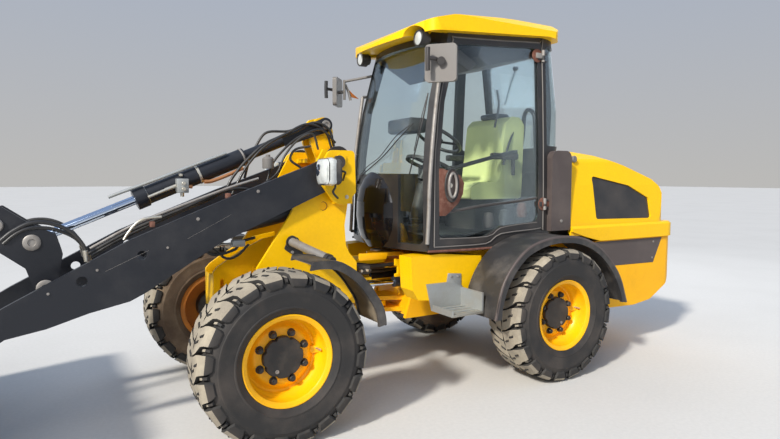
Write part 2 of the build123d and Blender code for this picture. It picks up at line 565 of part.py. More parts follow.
for level in DOOR_HINGES:
    foot = (HINGE_X, HINGE_Y - HINGE_LEAN * (level - 40 - DOOR_HINGES[0]), level - 40)
    top = (HINGE_X, HINGE_Y - HINGE_LEAN * (level + 40 - DOOR_HINGES[0]), level + 40)
    skin = HINGE_Y - HINGE_LEAN * (level - DOOR_HINGES[0]) - 18
    cab_shell += bar(foot, top, 7)
    for low in (level - 34, level + 22):
        cab_shell += block(HINGE_X - 30, HINGE_X + 4, skin - 24, skin + 24, low, low + 12)
    knuckle = bar(along(foot, top, 22), along(foot, top, 58), 13)
    knuckle += block(HINGE_X, HINGE_X + 44, skin - 8, skin + 14, level - 18, level + 16)
    door_hinges += knuckle - bar(foot, top, 7 + RUN)
put("cab_body", cab_shell)
glass_zone = cab_solid(8.0) - cab_solid(8.0 + CAB_GLASS_T)
put(
    "cab_glass", (glass_zone & front_zone) + (glass_zone & right_zone) + (glass_zone & rear_zone)
    + (glass_zone & quarter_zone)
)
DOOR_CUT = [
    (-144, 991), (-584, 991), (-729, 1056), (-1144, 1081), (-1144, 2467), (-320, 2410), (-198, 1981),
    (-152, 1600),
    (-144, 1400),
]
door_shell = (cab_solid(-2.0) - cab_solid(34.0)) & plate(DOOR_CUT, 300, 700)
put("door_left", door_shell - plate(DOOR_GLASS, 300, 700) + door_hinges)
put("door_glass", (cab_solid(8.0) - cab_solid(8.0 + CAB_GLASS_T)) & plate(DOOR_GLASS, 300, 700))

# Grey cover between cab and hood
cover = block(-1404, -1195, -HOOD_Y, HOOD_Y, 1052, 1665)
cover = fillet(cover.edges().filter_by(Axis.Y).group_by(Axis.Z)[-1], 60) - cab_solid(-FIT)
cover += both(block(LID_X, -1385, LID_Y - 18, LID_Y + 18, LID_Z - 6, LID_Z + 6))
cover += both(disc_y(LID_X, LID_Z, 8, LID_Y - 36, LID_Y + 36))
put("cab_cover", cover)

# Cab roof
ROOF_SIDE = [
    (62, 2392), (-60, 2426), (-1165, 2512), (-1318, 2496), (-1332, 2530), (-1262, 2612, 60), (-1150, 2630),
    (-730, 2602), (-290, 2556), (-80, 2500, 150), (36, 2434, 30), (68, 2404),
]
ROOF_FRONT = [Line((-180, 572), (-1190, 572)), ThreePointArc((-1190, 572), (-1296, 528), (-1340, 422)),
              Line((-1340, 422), (-1340, -422)), ThreePointArc((-1340, -422), (-1296, -528), (-1190, -572)),
              Line((-1190, -572), (-180, -572)), ThreePointArc((-180, -572), (-118, -546), (-92, -486)),
              ThreePointArc((-92, -486), (56, 0), (-92, 486)),
              ThreePointArc((-92, 486), (-118, 546), (-180, 572))]
roof_plan = extrude(Plane.XY.offset(2300) * make_face(Curve() + ROOF_FRONT), 500, dir=(0, 0, 1))
roof = plate(ROOF_SIDE, -700, 700) & roof_plan
roof &= section([(-590, 2300), (590, 2300), (560, 2560), (500, 2612), (380, 2645), (-380, 2645), (-500, 2612),
                 (-560, 2560)], -1500, 200)
LAMP_X, LAMP_Y, LAMP_Z = -117.0, 420.0, 2400.0
LAMP_R = 55.0
roof -= both(Pos(-150, LAMP_Y, LAMP_Z) * Rot(0, 90, 0) * Cylinder(LAMP_R + 24, 500))
roof = roof - cab_solid(-FIT)
lamp_stalk = block(LAMP_X - 30, LAMP_X - 10, LAMP_Y - 12, LAMP_Y + 12, LAMP_Z + LAMP_R - 6, LAMP_Z + 92)
roof -= both(block(
    LAMP_X - 30 - FIT, LAMP_X - 10 + FIT, LAMP_Y - 12 - FIT, LAMP_Y + 12 + FIT, LAMP_Z, LAMP_Z + 92 + FIT
))
put("cab_roof", roof)
lamp = Cylinder(LAMP_R, 50) + Pos(0, 0, -35) * Cylinder(LAMP_R - 16, 30)
lamp = Pos(LAMP_X, LAMP_Y, LAMP_Z) * Rot(0, 90, 0) * lamp
lamp -= Pos(LAMP_X + 20, LAMP_Y, LAMP_Z) * Rot(0, 90, 0) * Cylinder(LAMP_R - 7, 14)
put("work_lights", both(lamp + lamp_stalk))

MIRROR_X, MIRROR_Y, MIRROR_Z = -45.0, 750.0, 2175.0
mirror_head = Box(34, 205, 235)
mirror_head = fillet(mirror_head.edges().filter_by(Axis.X), 26)
mirror_head = Pos(MIRROR_X, MIRROR_Y, MIRROR_Z) * Rot(0, 0, 40) * mirror_head
mirror_arm = bar((-236, 500, 2290), (-85, 700, 2262), 11) + bar((-85, 700, 2275), (-85, 700, 2110), 11)
mirror_arm += bar((-85, 700, MIRROR_Z), (MIRROR_X - 6, MIRROR_Y - 6, MIRROR_Z), 14)
put("mirrors", both(mirror_head + mirror_arm - cab_solid(-FIT)))

# Lower front nose of the cab, glossy shell
# level, half width, front middle X
NOSE_LEVELS = [
    (945.0, 236.0, 52.0), (1000.0, 276.0, 86.0), (1080.0, 300.0, 112.0), (1170.0, 308.0, 124.0),
    (1280.0, 302.0, 120.0),
    (1380.0, 276.0, 100.0), (1450.0, 236.0, 70.0), (1500.0, 176.0, 34.0),
]


def nose_ring(level, half, front):
    lines = [ThreePointArc((-80, -half), (front, 0), (-80, half)), Line((-80, half), (-80, -half))]
    return Pos(0, 0, level) * make_face(Curve() + lines)


nose = Part()
for low, high in zip(NOSE_LEVELS, NOSE_LEVELS[1:]):
    nose += loft([nose_ring(*low), nose_ring(*high)], ruled=True)
nose -= cab_solid(-FIT)
put("cab_nose", nose)

# Seat, console
seat = plate([
    (-700, 1290, 20), (-700, 1385, 40), (-800, 1420, 60), (-985, 1425, 60), (-1040, 1890, 50),
    (-1100, 1945, 40),
    (-1190, 1940, 40), (-1235, 1880, 50), (-1215, 1300, 20), (-1180, 1290),
], -245, 245)
put("seat", seat)
seat_base = block(-1180, -780, -200, 200, 980 + FIT, 1290 - FIT)
put("seat_base", seat_base)
console = bar((-330, 0, 1060), (-420, 0, 1400), 50) + block(-400, -200, -120, 120, 980 + FIT, 1100)
wheel_ring = Pos(-470, 0, 1560) * Rot(0, -20, 0) * (Cylinder(185, 24) - Cylinder(160, 30))
wheel_ring += Pos(-470, 0, 1560) * Rot(0, -20, 0) * (Box(340, 30, 14) + Cylinder(40, 40))
console += bar((-420, 0, 1390), (-470, 0, 1555), 30)
put("steering_console", console + wheel_ring)

# Hood over the engine
BELT_X = -2640.0
HOOD_TOP = [
    (-1412, 1000), (-1412, 1630), (-1440, 1660, 30), (-1560, 1672, 200), (-1800, 1642), (-2110, 1562),
    (-2450, 1450, 200),
    (-2552, 1384, 90), (-2612, 1250, 120), (BELT_X, 1095), (BELT_X, 1000),
]
HOOD_INSIDE = [
    (-1300, 900), (-1300, 1632), (-1440, 1632), (-1555, 1642), (-1795, 1613), (-2102, 1534), (-2432, 1424),
    (-2528, 1362), (-2583, 1243), (-2611, 1090), (-2611, 900),
]
HOOD_LOW = [(-1412, 1100), (-1412, 1036), (-1560, 992), (-1735, 950), (REAR_X - 10, 950), (REAR_X - 10, 1100)]
HOOD_FRONT = [
    (-HOOD_Y, 900), (HOOD_Y, 900), (HOOD_Y, 1100), (HOOD_Y - 38, 1400), (HOOD_Y - 80, 1600, 60),
    (HOOD_Y - 220, 1700, 90),
    (-HOOD_Y + 220, 1700, 90), (-HOOD_Y + 80, 1600, 60), (-HOOD_Y + 38, 1400), (-HOOD_Y, 1100),
]
HOOD_HOLLOW = [
    (-HOOD_Y + 28, 800), (HOOD_Y - 28, 800), (HOOD_Y - 28, 1095), (HOOD_Y - 66, 1392), (HOOD_Y - 106, 1584),
    (HOOD_Y - 234, 1672), (-HOOD_Y + 234, 1672), (-HOOD_Y + 106, 1584), (-HOOD_Y + 66, 1392),
    (-HOOD_Y + 28, 1095),
]


def hood_plan(rear, side, corner, z_low, z_high):
    return slab([(-1300, -side), (-1300, side), (rear, side, corner), (rear, -side, corner)], z_low, z_high)


BELT_Y = HOOD_Y + 20.0
upper = plate(HOOD_TOP, -700, 700) & hood_plan(BELT_X, HOOD_Y, 150, 800, 1800)
upper &= section(HOOD_FRONT, -2800, -1300)
belt = hood_plan(REAR_X, BELT_Y, 125, 900, 1078)
belt = chamfer(belt.faces().sort_by(Axis.Z)[-1].edges(), 18) & plate(HOOD_LOW, -700, 700)
hollow = plate(HOOD_INSIDE, -700, 700) & hood_plan(BELT_X + 29, HOOD_Y - 28, 125, 800, 1800)
hollow &= section(HOOD_HOLLOW, -2800, -1300)
hood = upper + belt - hollow - hood_plan(REAR_X + 34, BELT_Y - 34, 100, 900, 1020)
GRILLE = [(-1690, 1475), (-1705, 1125), (-2400, 1113), (-2386, 1286), (-2135, 1396)]
grille_zone = plate(GRILLE, 450, 700, 24)
hood -= both(grille_zone)
hood -= both(block(LID_X - 20, -1400, LID_Y - 24, LID_Y + 24, LID_Z - 24, LID_Z + 24))
hood -= both(disc_y(LID_X, LID_Z, 8 + RUN, LID_Y - 38, LID_Y + 38))
put("hood", hood)
grille_skin = section([
    (HOOD_Y - 12, 900), (HOOD_Y - 12, 1100), (HOOD_Y - 50, 1400), (HOOD_Y - 92, 1600), (HOOD_Y - 108, 1600),
    (HOOD_Y - 66, 1400), (HOOD_Y - 28, 1100), (HOOD_Y - 28, 900),
], -2800, -1300)
put("hood_grilles", both(plate(GRILLE, 450, 700, 24, FIT) & grille_skin))

# Counterweight and side panels
counter = plate([
    (-2380, 944), (REAR_X - 10, 944), (REAR_X - 10, 700), (-2640, 522, 90), (-2420, 400, 90),
    (-2200, 372), (-1740, 385),
    (-1715, 500), (-1720, 520), (-2380, 540),
], -700, 700) & hood_plan(REAR_X, HOOD_Y, 125, 300, 1000)
counter -= block(-2500 - FIT, -2300, -FRAME_Y - FRAME_T - FIT, FRAME_Y + FRAME_T + FIT, 540, 1000)
side_wall = plate([
    (-1700, 944), (-2390, 944), (-2390, 530), (-1725, 500), (-1668, 640), (-1575, 800),
], HOOD_Y - 60, HOOD_Y)
panel_zone = plate([(-1640, 940), (-2562, 940), (-2450, 722), (-1760, 732)], HOOD_Y - 20, HOOD_Y + 30)
counter += both(side_wall)
counter -= both(panel_zone)
counter -= block(REAR_X - 20, TOW_X + 45, -64, 64, 555, 700)
tow = both(block(-2732, -2580, 0, 60, 560, 580) + block(-2732, -2620, 0, 60, 640, 660))
counter += tow - disc_z(TOW_X, 0, TOW_R, 500, 700)
put("counterweight", counter)
side_panel = plate([(-1643, 938), (-2558, 938), (-2448, 724), (-1762, 734)], HOOD_Y - 20 + FIT, HOOD_Y)
put("side_panels", both(side_panel))

for name, shape in NODES.items():
    export_step(Pos(-MID_X, 0, 0) * shape, "parts/" + name + ".step")
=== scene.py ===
from math import atan2, copysign, cos, pi, radians, sin, tau

import bmesh
import bpy
from mathutils import Matrix, Vector


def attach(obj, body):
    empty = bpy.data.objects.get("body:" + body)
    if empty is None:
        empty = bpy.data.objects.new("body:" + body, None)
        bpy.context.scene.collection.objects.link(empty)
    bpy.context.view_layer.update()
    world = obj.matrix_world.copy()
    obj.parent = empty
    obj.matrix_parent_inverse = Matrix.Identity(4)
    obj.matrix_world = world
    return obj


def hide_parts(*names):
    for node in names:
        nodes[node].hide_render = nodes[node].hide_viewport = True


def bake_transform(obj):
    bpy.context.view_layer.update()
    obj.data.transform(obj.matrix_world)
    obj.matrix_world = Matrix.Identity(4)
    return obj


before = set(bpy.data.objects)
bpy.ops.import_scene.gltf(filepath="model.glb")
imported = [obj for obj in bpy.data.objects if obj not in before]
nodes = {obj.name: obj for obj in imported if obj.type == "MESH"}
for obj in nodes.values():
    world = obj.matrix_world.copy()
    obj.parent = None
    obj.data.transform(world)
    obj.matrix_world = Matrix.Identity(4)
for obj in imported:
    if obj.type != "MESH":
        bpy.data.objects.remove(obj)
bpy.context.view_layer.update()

# Lengths are in millimetres from the point midway between the axles, as in the CAD source
MID_X = 371.0
MM = 0.001
SIDES = (("left", 1), ("right", -1))
PLACES = (("front_left", 1, 1), ("front_right", 1, -1), ("rear_left", -1, 1), ("rear_right", -1, -1))
# Bodies that most pieces ride on
REAR, HOOD, DOOR, FRONT = "rear_body", "hood_body", "door_body", "front_body"
ARMS, LEVER, NECK, BARREL = "arms_body", "lever_body", "neck_body", "tilt_barrel_body"


# A point of the frame from the scene's millimetres, and its way back along X
def P(x, y, z):
    return Vector(((x - MID_X) * MM, y * MM, z * MM))


def local_x(point):
    return point.x / MM + MID_X


# Points given as X, Z in the plane of one Y, and points of the left side for either side
def in_plane(y, points):
    return [P(x, y, z) for x, z in points]


def on_side(sy, points):
    return [P(x, sy * y, z) for x, y, z in points]


def new_object(name, data):
    obj = bpy.data.objects.new(name, data)
    bpy.context.scene.collection.objects.link(obj)
    return obj


# Camera fitted to the photograph: place, turns in degrees, lens in millimetres, reach in metres
CAM_AT = P(2140, 3800, 1460)
CAM_YAW, CAM_PITCH, CAM_ROLL = -120.74, 4.14, -0.15
CAM_LENS = 27.02
CAM_REACH = 200
yaw, pitch = radians(CAM_YAW), radians(CAM_PITCH)
look = Vector((cos(pitch) * cos(yaw), cos(pitch) * sin(yaw), -sin(pitch)))
right = look.cross(Vector((0, 0, 1))).normalized()
up = right.cross(look)
turn = Matrix.Rotation(radians(CAM_ROLL), 3, look)
right, up = turn @ right, turn @ up
cam_data = bpy.data.cameras.new("camera")
cam_data.lens = CAM_LENS
cam_data.clip_end = CAM_REACH
cam = new_object("camera", cam_data)
cam.matrix_world = Matrix((
    (right.x, up.x, -look.x, CAM_AT.x),
    (right.y, up.y, -look.y, CAM_AT.y),
    (right.z, up.z, -look.z, CAM_AT.z),
    (0, 0, 0, 1),
))
bpy.context.scene.camera = cam

# Sockets of a Mix node for colours: first colour, second colour, result
MIX_A, MIX_B, MIX_OUT = 6, 7, 2
# How much rougher the dirtiest spots are, and how deep the fine grain goes in metres
DIRT_ROUGHNESS = 0.35
GRAIN_DEPTH = 0.002


# Clears the nodes of a material or world, and gives a function that adds one with its inputs
def shader_nodes(owner):
    owner.use_nodes = True
    tree = owner.node_tree
    tree.nodes.clear()

    def add(kind, inputs, **settings):
        node = tree.nodes.new("ShaderNode" + kind)
        for key, value in settings.items():
            setattr(node, key, value)
        for socket, value in inputs.items():
            if isinstance(value, bpy.types.NodeSocket):
                tree.links.new(value, node.inputs[socket])
            else:
                node.inputs[socket].default_value = value
        return node

    return add


# Paint, plastic, rubber or metal, with fine grain and patches of dirt
def material(name, rgb, rough, dirt=None, dirt_amount=0.25, dirt_scale=3.0, metal=0.0, coat=0.0, grain=60.0,
             bump=0.05, vary=0.08, dirt_low=0.45, dirt_high=0.75, spec=0.5):
    made = bpy.data.materials.new(name)
    add = shader_nodes(made)
    where = add("TexCoord", {}).outputs["Object"]
    cloud = add("TexNoise", {"Vector": where, "Scale": dirt_scale, "Detail": 8.0, "Roughness": 0.62})
    fine = add("TexNoise", {"Vector": where, "Scale": grain, "Detail": 4.0}).outputs[0]
    ramp = add("ValToRGB", {0: cloud.outputs[0]})
    ramp.color_ramp.elements[0].position = dirt_low
    ramp.color_ramp.elements[1].position = dirt_high
    share = add("Math", {0: ramp.outputs[0], 1: dirt_amount}, operation="MULTIPLY").outputs[0]
    dark, light = [(*[min(1, c * (1 + by)) for c in rgb], 1) for by in (-vary, vary)]
    tone = add("Mix", {0: fine, MIX_A: dark, MIX_B: light}, data_type="RGBA").outputs[MIX_OUT]
    soiled = add("Mix", {0: share, MIX_A: tone, MIX_B: (*(dirt or rgb), 1)}, data_type="RGBA")
    dull = add("MapRange", {"Value": share, "To Min": rough, "To Max": min(1.0, rough + DIRT_ROUGHNESS)})
    finish = {
        "Base Color": soiled.outputs[MIX_OUT], "Roughness": dull.outputs[0], "Metallic": metal,
        "Coat Weight": coat, "Coat Roughness": 0.08, "Specular IOR Level": spec,
    }
    if bump:
        relief = add("Bump", {"Strength": bump, "Distance": GRAIN_DEPTH, "Height": fine})
        finish["Normal"] = relief.outputs[0]
    body = add("BsdfPrincipled", finish)
    add("OutputMaterial", {0: body.outputs[0]})
    return made


# Finishes: name, colour, roughness, the dirt's colour, amount and scale, and what else is unusual
YELLOW = material("yellow_paint", (0.95, 0.54, 0.002), 0.38, (0.7, 0.36, 0.02), 0.22, coat=0.08, spec=0.22)
YELLOW_DEEP = material("yellow_cast", (0.93, 0.46, 0.002), 0.42, (0.58, 0.27, 0.02), 0.28, coat=0.06,
                       spec=0.22)
RIM_YELLOW = material("rim_yellow", (0.95, 0.47, 0.003), 0.36, (0.5, 0.22, 0.03), 0.35, 6, coat=0.12,
                      spec=0.3)
# Painted shade for the rim's hidden back, dish and inner barrel: the rim's yellow darkened to a deep orange
RIM_PAINTED_SHADE = material("rim_painted_shade", (0.6, 0.2, 0.02), 0.6, (0.25, 0.12, 0.06), 0.5, 9)
SLATE = material("slate_paint", (0.014, 0.016, 0.022), 0.42, (0.07, 0.068, 0.07), 0.4, 3, coat=0.08,
                 grain=90, bump=0.08, spec=0.35)
SLATE_WORN = material("slate_worn", (0.022, 0.024, 0.03), 0.5, (0.17, 0.15, 0.135), 0.4, 2.2, grain=120,
                      bump=0.2, dirt_low=0.3, dirt_high=0.85)
PLASTIC = material("black_plastic", (0.028, 0.027, 0.028), 0.5, (0.25, 0.22, 0.19), 0.4, 5, grain=240,
                   bump=0.25)
DUSTY = material("dusty_plastic", (0.13, 0.105, 0.075), 0.8, (0.34, 0.27, 0.18), 0.6, 6, grain=160, bump=0.3)
GREY = material("grey_plastic", (0.075, 0.058, 0.055), 0.5, (0.22, 0.18, 0.16), 0.3, grain=260, bump=0.2)
PALE = material("pale_plastic", (0.16, 0.15, 0.142), 0.5, (0.2, 0.17, 0.15), 0.4, grain=260, bump=0.2)
BLACK = material("cab_black", (0.02, 0.02, 0.022), 0.36, (0.2, 0.16, 0.13), 0.2, coat=0.2)
GLOSS = material("gloss_black", (0.008, 0.008, 0.01), 0.12, (0.2, 0.17, 0.13), 0.1, coat=0.35, bump=0,
                 spec=0.3)
RUBBER = material("hose_rubber", (0.018, 0.018, 0.019), 0.42, (0.2, 0.18, 0.15), 0.3, coat=0.1, grain=300)
CHROME = material("chrome", (0.62, 0.72, 0.88), 0.08, (0.25, 0.22, 0.2), 0.12, metal=1, bump=0)
ZINC = material("zinc", (0.6, 0.57, 0.5), 0.36, (0.42, 0.33, 0.2), 0.4, 20, metal=0.8)
COPPER = material("copper_pipe", (0.62, 0.28, 0.12), 0.45, (0.2, 0.12, 0.08), 0.5, metal=0.7)
GALV = material("galvanised", (0.4, 0.42, 0.42), 0.42, (0.36, 0.31, 0.24), 0.45, 9, metal=0.55, grain=80)
STEEL = material("worn_steel", (0.33, 0.31, 0.29), 0.5, (0.14, 0.11, 0.09), 0.6, 14, metal=0.5, grain=80)
RUST = material("rusty_steel", (0.15, 0.055, 0.035), 0.75, (0.36, 0.22, 0.17), 0.5, 30, metal=0.1)
TYRE = material("tyre_rubber", (0.026, 0.025, 0.024), 0.8, (0.12, 0.105, 0.09), 0.4, 9, grain=180, bump=0.3)
TYRE_SIDE = material("tyre_side", (0.019, 0.018, 0.018), 0.7, (0.13, 0.105, 0.088), 0.4, 4, grain=170,
                     bump=0.5)
TREAD_DUST = material("tread_dust", (0.27, 0.235, 0.185), 0.9, (0.45, 0.395, 0.3), 0.9, 6, grain=120,
                      bump=0.4, vary=0.2)
SIDE_DUST = material("side_dust", (0.12, 0.082, 0.055), 0.9, (0.28, 0.21, 0.14), 0.8, 5, grain=140, bump=0.3,
                     vary=0.2)
SEAT = material("seat_vinyl", (0.8, 0.84, 0.36), 0.5, (0.35, 0.36, 0.2), 0.3, grain=200, bump=0.25)
LAMP = material("lamp_lens", (0.62, 0.65, 0.64), 0.06, (0.24, 0.25, 0.24), 0.6, 14, coat=0.9, grain=30,
                bump=0.5)
AMBER = material("amber_lens", (0.85, 0.22, 0.02), 0.15, coat=0.6, bump=0.05)
RED = material("red_lens", (0.5, 0.02, 0.015), 0.15, coat=0.6, bump=0.05)
IRON = material("engine_iron", (0.06, 0.06, 0.06), 0.7, (0.13, 0.1, 0.08), 0.5)
AXLE = material("axle_paint", (0.02, 0.019, 0.019), 0.5, (0.14, 0.115, 0.09), 0.4, 8)
# Orange: the far flag's colour, and on the recess plate a painted shade of the yellow paint
ORANGE_AND_PAINTED_SHADE = material("orange_and_painted_shade", (0.5, 0.15, 0.03), 0.4, (0.3, 0.12, 0.04), 0.4)


# Thin glass: clear, with a shine that grows toward a grazing look and a faint film of dust
def glass_material(name, tint, shine_amount):
    made = bpy.data.materials.new(name)
    add = shader_nodes(made)
    where = add("TexCoord", {}).outputs["Object"]
    cloud = add("TexNoise", {"Vector": where, "Scale": 4.0, "Detail": 7.0}).outputs[0]
    film = add("MapRange",
               {"Value": cloud, "From Min": 0.42, "From Max": 0.8, "To Min": 0.0, "To Max": 0.008})
    clear = add("BsdfTransparent", {0: (*tint, 1)})
    haze = add("BsdfDiffuse", {0: (0.42, 0.44, 0.42, 1)})
    dusty = add("MixShader", {0: film.outputs[0], 1: clear.outputs[0], 2: haze.outputs[0]})
    shine = add("BsdfGlossy", {"Roughness": 0.03, "Color": (0.85, 0.93, 1.0, 1)})
    grazing = add("Fresnel", {"IOR": 1.5})
    gain = add("Math", {0: grazing.outputs[0], 1: shine_amount}, operation="MULTIPLY")
    shiny = add("MixShader", {0: gain.outputs[0], 1: dusty.outputs[0], 2: shine.outputs[0]})
    add("OutputMaterial", {0: shiny.outputs[0]})
    return made


GLASS = glass_material("cab_glass", (0.94, 0.975, 0.97), 0.34)


# Angles in degrees past which edges are rounded, on pieces and on CAD nodes, and a node's shading is crisp
PIECE_BEVEL_ANGLE, NODE_BEVEL_ANGLE, NODE_SPLIT_ANGLE = 30, 28, 38


# Rounded edges and crisp shading, as modifiers
def round_edges(obj, width, angle):
    rounding = obj.modifiers.new("bevel", "BEVEL")
    rounding.width = width * MM
    rounding.segments = 2
    rounding.limit_method = "ANGLE"
    rounding.angle_limit = radians(angle)


def split_edges(obj, angle):
    edge = obj.modifiers.new("edge", "EDGE_SPLIT")
    edge.split_angle = radians(angle)


# Pieces: angles in degrees, other sizes in millimetres
def make(name, verts, faces, mat, body, bevel=0.0, angle=35):
    mesh = bpy.data.meshes.new(name)
    mesh.from_pydata([tuple(v) for v in verts], [], faces)
    mesh.validate()
    mesh.materials.append(mat)
    turned = bmesh.new()
    turned.from_mesh(mesh)
    bmesh.ops.recalc_face_normals(turned, faces=turned.faces)
    turned.to_mesh(mesh)
    turned.free()
    mesh.shade_smooth()
    obj = new_object(name, mesh)
    if bevel:
        round_edges(obj, bevel, PIECE_BEVEL_ANGLE)
    split_edges(obj, angle)
    if body:
        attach(obj, body)
    return obj


def box(name, x0, x1, y0, y1, z0, z1, mat, body, bevel=3.0):
    corners = [P(x, y, z) for x in (x0, x1) for y in (y0, y1) for z in (z0, z1)]
    faces = [(0, 1, 3, 2), (4, 6, 7, 5), (0, 4, 5, 1), (2, 3, 7, 6), (0, 2, 6, 4), (1, 5, 7, 3)]
    return make(name, corners, faces, mat, body, bevel)


# A plate between two Y from an outline given as X, Z
def slab_xz(name, points, y0, y1, mat, body, bevel=3.0):
    n = len(points)
    verts = in_plane(y0, points) + in_plane(y1, points)
    faces = [tuple(range(n)), tuple(range(2 * n - 1, n - 1, -1))]
    faces += [(i, (i + 1) % n, n + (i + 1) % n, n + i) for i in range(n)]
    return make(name, verts, faces, mat, body, bevel)


# Quads between rings of points: rows of rings or of sections, closed around
def ring_faces(ring, rows):
    faces = []
    for k in range(rows - 1):
        for i in range(ring):
            j = (i + 1) % ring
            faces.append((k * ring + i, k * ring + j, (k + 1) * ring + j, (k + 1) * ring + i))
    return faces


def section_faces(steps, n):
    faces = []
    for i in range(steps):
        j = (i + 1) % steps
        for k in range(n - 1):
            faces.append((i * n + k, i * n + k + 1, j * n + k + 1, j * n + k))
    return faces


# A turned form from pairs of radius and distance along the axis
def lathe(name, profile, centre, axis, mat, body, steps=48, angle=35, caps=True):
    axis = Vector(axis).normalized()
    side = axis.orthogonal().normalized()
    other = axis.cross(side)
    n = len(profile)
    verts = []
    for i in range(steps):
        a = tau * i / steps
        outward = side * cos(a) + other * sin(a)
        verts += [centre + outward * (r * MM) + axis * (h * MM) for r, h in profile]
    faces = section_faces(steps, n)
    if caps and profile[0][0] > 0.01:
        faces.append(tuple(i * n for i in range(steps)))
    if caps and profile[-1][0] > 0.01:
        faces.append(tuple(i * n + n - 1 for i in reversed(range(steps))))
    return make(name, verts, faces, mat, body, angle=angle)


def rod(name, a, b, r, mat, body, steps=24):
    a, b = Vector(a), Vector(b)
    h = (b - a).length / MM
    e = min(1.0, r * 0.4)
    profile = [(0.0, 0), (r - e, 0), (r, e), (r, h - e), (r - e, h), (0.0, h)]
    return lathe(name, profile, a, b - a, mat, body, steps)


# A curve through the points, with the given steps between neighbours
def smooth_path(points, steps=8):
    given = [Vector(p) for p in points]
    if len(given) < 3:
        return given
    longer = [given[0] * 2 - given[1]] + given + [given[-1] * 2 - given[-2]]
    path = []
    for i in range(1, len(longer) - 2):
        p0, p1, p2, p3 = longer[i - 1: i + 3]
        bend = 2 * p0 - 5 * p1 + 4 * p2 - p3
        twist = 3 * p1 - p0 - 3 * p2 + p3
        for s in range(steps):
            t = s / steps
            path.append(0.5 * (2 * p1 + (p2 - p0) * t + bend * t * t + twist * t ** 3))
    path.append(given[-1])
    return path


def tube(name, points, r, mat, body, steps=8, ring=10):
    path = smooth_path(points, steps)
    verts = []
    normal = None
    for i, p in enumerate(path):
        ahead = path[min(i + 1, len(path) - 1)] - path[max(i - 1, 0)]
        ahead.normalize()
        if normal is None:
            normal = ahead.orthogonal().normalized()
        normal = (normal - ahead * normal.dot(ahead)).normalized()
        other = ahead.cross(normal)
        for k in range(ring):
            a = tau * k / ring
            verts.append(p + (normal * cos(a) + other * sin(a)) * (r * MM))
    faces = ring_faces(ring, len(path))
    faces.append(tuple(range(ring)))
    faces.append(tuple((len(path) - 1) * ring + k for k in reversed(range(ring))))
    return make(name, verts, faces, mat, body, angle=60)


# A value for each node, from pairs of a value and the names of its nodes
def by_node(groups):
    return {node: value for value, group in groups for node in group.split()}


# Looks of the CAD nodes
LOOKS = by_node([
    (YELLOW, "cab_roof tank_left tank_right hood front_frame"), (YELLOW_DEEP, "rear_frame counterweight"),
    (SLATE, "lift_arms tilt_lever tilt_link quick_hitch tilt_neck tilt_barrel"), (SLATE_WORN, "bucket"),
    (BLACK, "cab_body hood_grilles door_left"), (GLOSS, "cab_nose"), (GREY, "side_panels cab_cover"),
    (PALE, "mirrors"), (PLASTIC, "work_lights steering_console headlights"),
    (PLASTIC, "fender_rear_left fender_rear_right fender_front_left fender_front_right"),
    (GALV, "step_left step_right"), (AXLE, "rear_axle front_axle"), (IRON, "engine"), (SEAT, "seat"),
    (RUBBER, "seat_base"), (CHROME, "tilt_rod"), (GLASS, "cab_glass door_glass"),
])
for side, _ in SIDES:
    for kind in ("lift", "steer"):
        LOOKS[f"{kind}_barrel_{side}"] = SLATE
        LOOKS[f"{kind}_rod_{side}"] = CHROME
for place, _, _ in PLACES:
    LOOKS["wheel_" + place] = RIM_YELLOW
    LOOKS["tyre_" + place] = TYRE
# Width of the nodes' rounded edges, where it isn't the usual one
USUAL_BEVEL = 2.5
BEVELS = by_node([
    (26, "seat"), (16, "counterweight"), (14, "cab_roof cab_cover tank_left tank_right"), (12, "hood"),
    (8, "cab_nose"), (6, "mirrors"), (5, "cab_body door_left fender_rear_left fender_rear_right"),
    (4, "bucket front_frame fender_front_left fender_front_right"), (3, "lift_arms"),
])
for name, obj in nodes.items():
    obj.data.materials.clear()
    obj.data.materials.append(LOOKS[name])
    obj.data.shade_smooth()
    if LOOKS[name] != GLASS:
        round_edges(obj, BEVELS.get(name, USUAL_BEVEL), NODE_BEVEL_ANGLE)
    split_edges(obj, NODE_SPLIT_ANGLE)


# A point on a CAD node's surface, met by a ray from RAY_START metres away, and lifted off by millimetres
RAY_START = 1.5


def on(node, x, y, z, toward, lift=0.0):
    d = Vector(toward).normalized()
    met, at, _, _ = nodes[node].ray_cast(P(x, y, z) - d * RAY_START, d)
    if not met:
        raise RuntimeError(f"nothing of {node} at {x}, {y}, {z}")
    return at - d * (lift * MM)


# Tyres and rims
AXLE_X, WHEEL_Y, WHEEL_Z, TYRE_R = 1040.0, 765.0, 480.0, 480.0
CROWN_R, LUGS = 442.0, 20
# Half of the carcass section: radius, distance from the middle plane
CARCASS_HALF = [
    (CROWN_R + 2, 0), (CROWN_R + 1, 50), (CROWN_R - 1, 96), (434, 128), (420, 146), (400, 157), (384, 161),
    (381, 164), (374, 165), (368, 163), (330, 164), (300, 160), (297, 162), (290, 162), (286, 158),
    (268, 150), (256, 140), (254, 131), (231, 128),
]
CARCASS = [(r, -y) for r, y in reversed(CARCASS_HALF)] + CARCASS_HALF[1:]
# A lug, from the middle of the tread to the sidewall: across, radius, back edge, front edge
LUG_ROWS = [
    (3, 477.5, -76, 62), (40, 478.0, -66, 74), (78, 477.5, -42, 92), (112, 475.5, -8, 102),
    (142, 468.0, 4, 108), (159, 450.0, 8, 110), (164.5, 430.0, 14, 108), (165, 410.0, 26, 98),
]
# Ribs between the lugs at the shoulder, and slots in the lugs: across and along, each from and to
TIE_RIB = (118, 158, 130, 143)
SLOTS = [(16, 50, -14, -6), (66, 104, 30, 38)]
# A lug's foot is longer at both ends, and past the shoulder it goes inward and down
FOOT_LONGER, SHOULDER, FOOT_IN, FOOT_DOWN = 6, 150, 9, 12
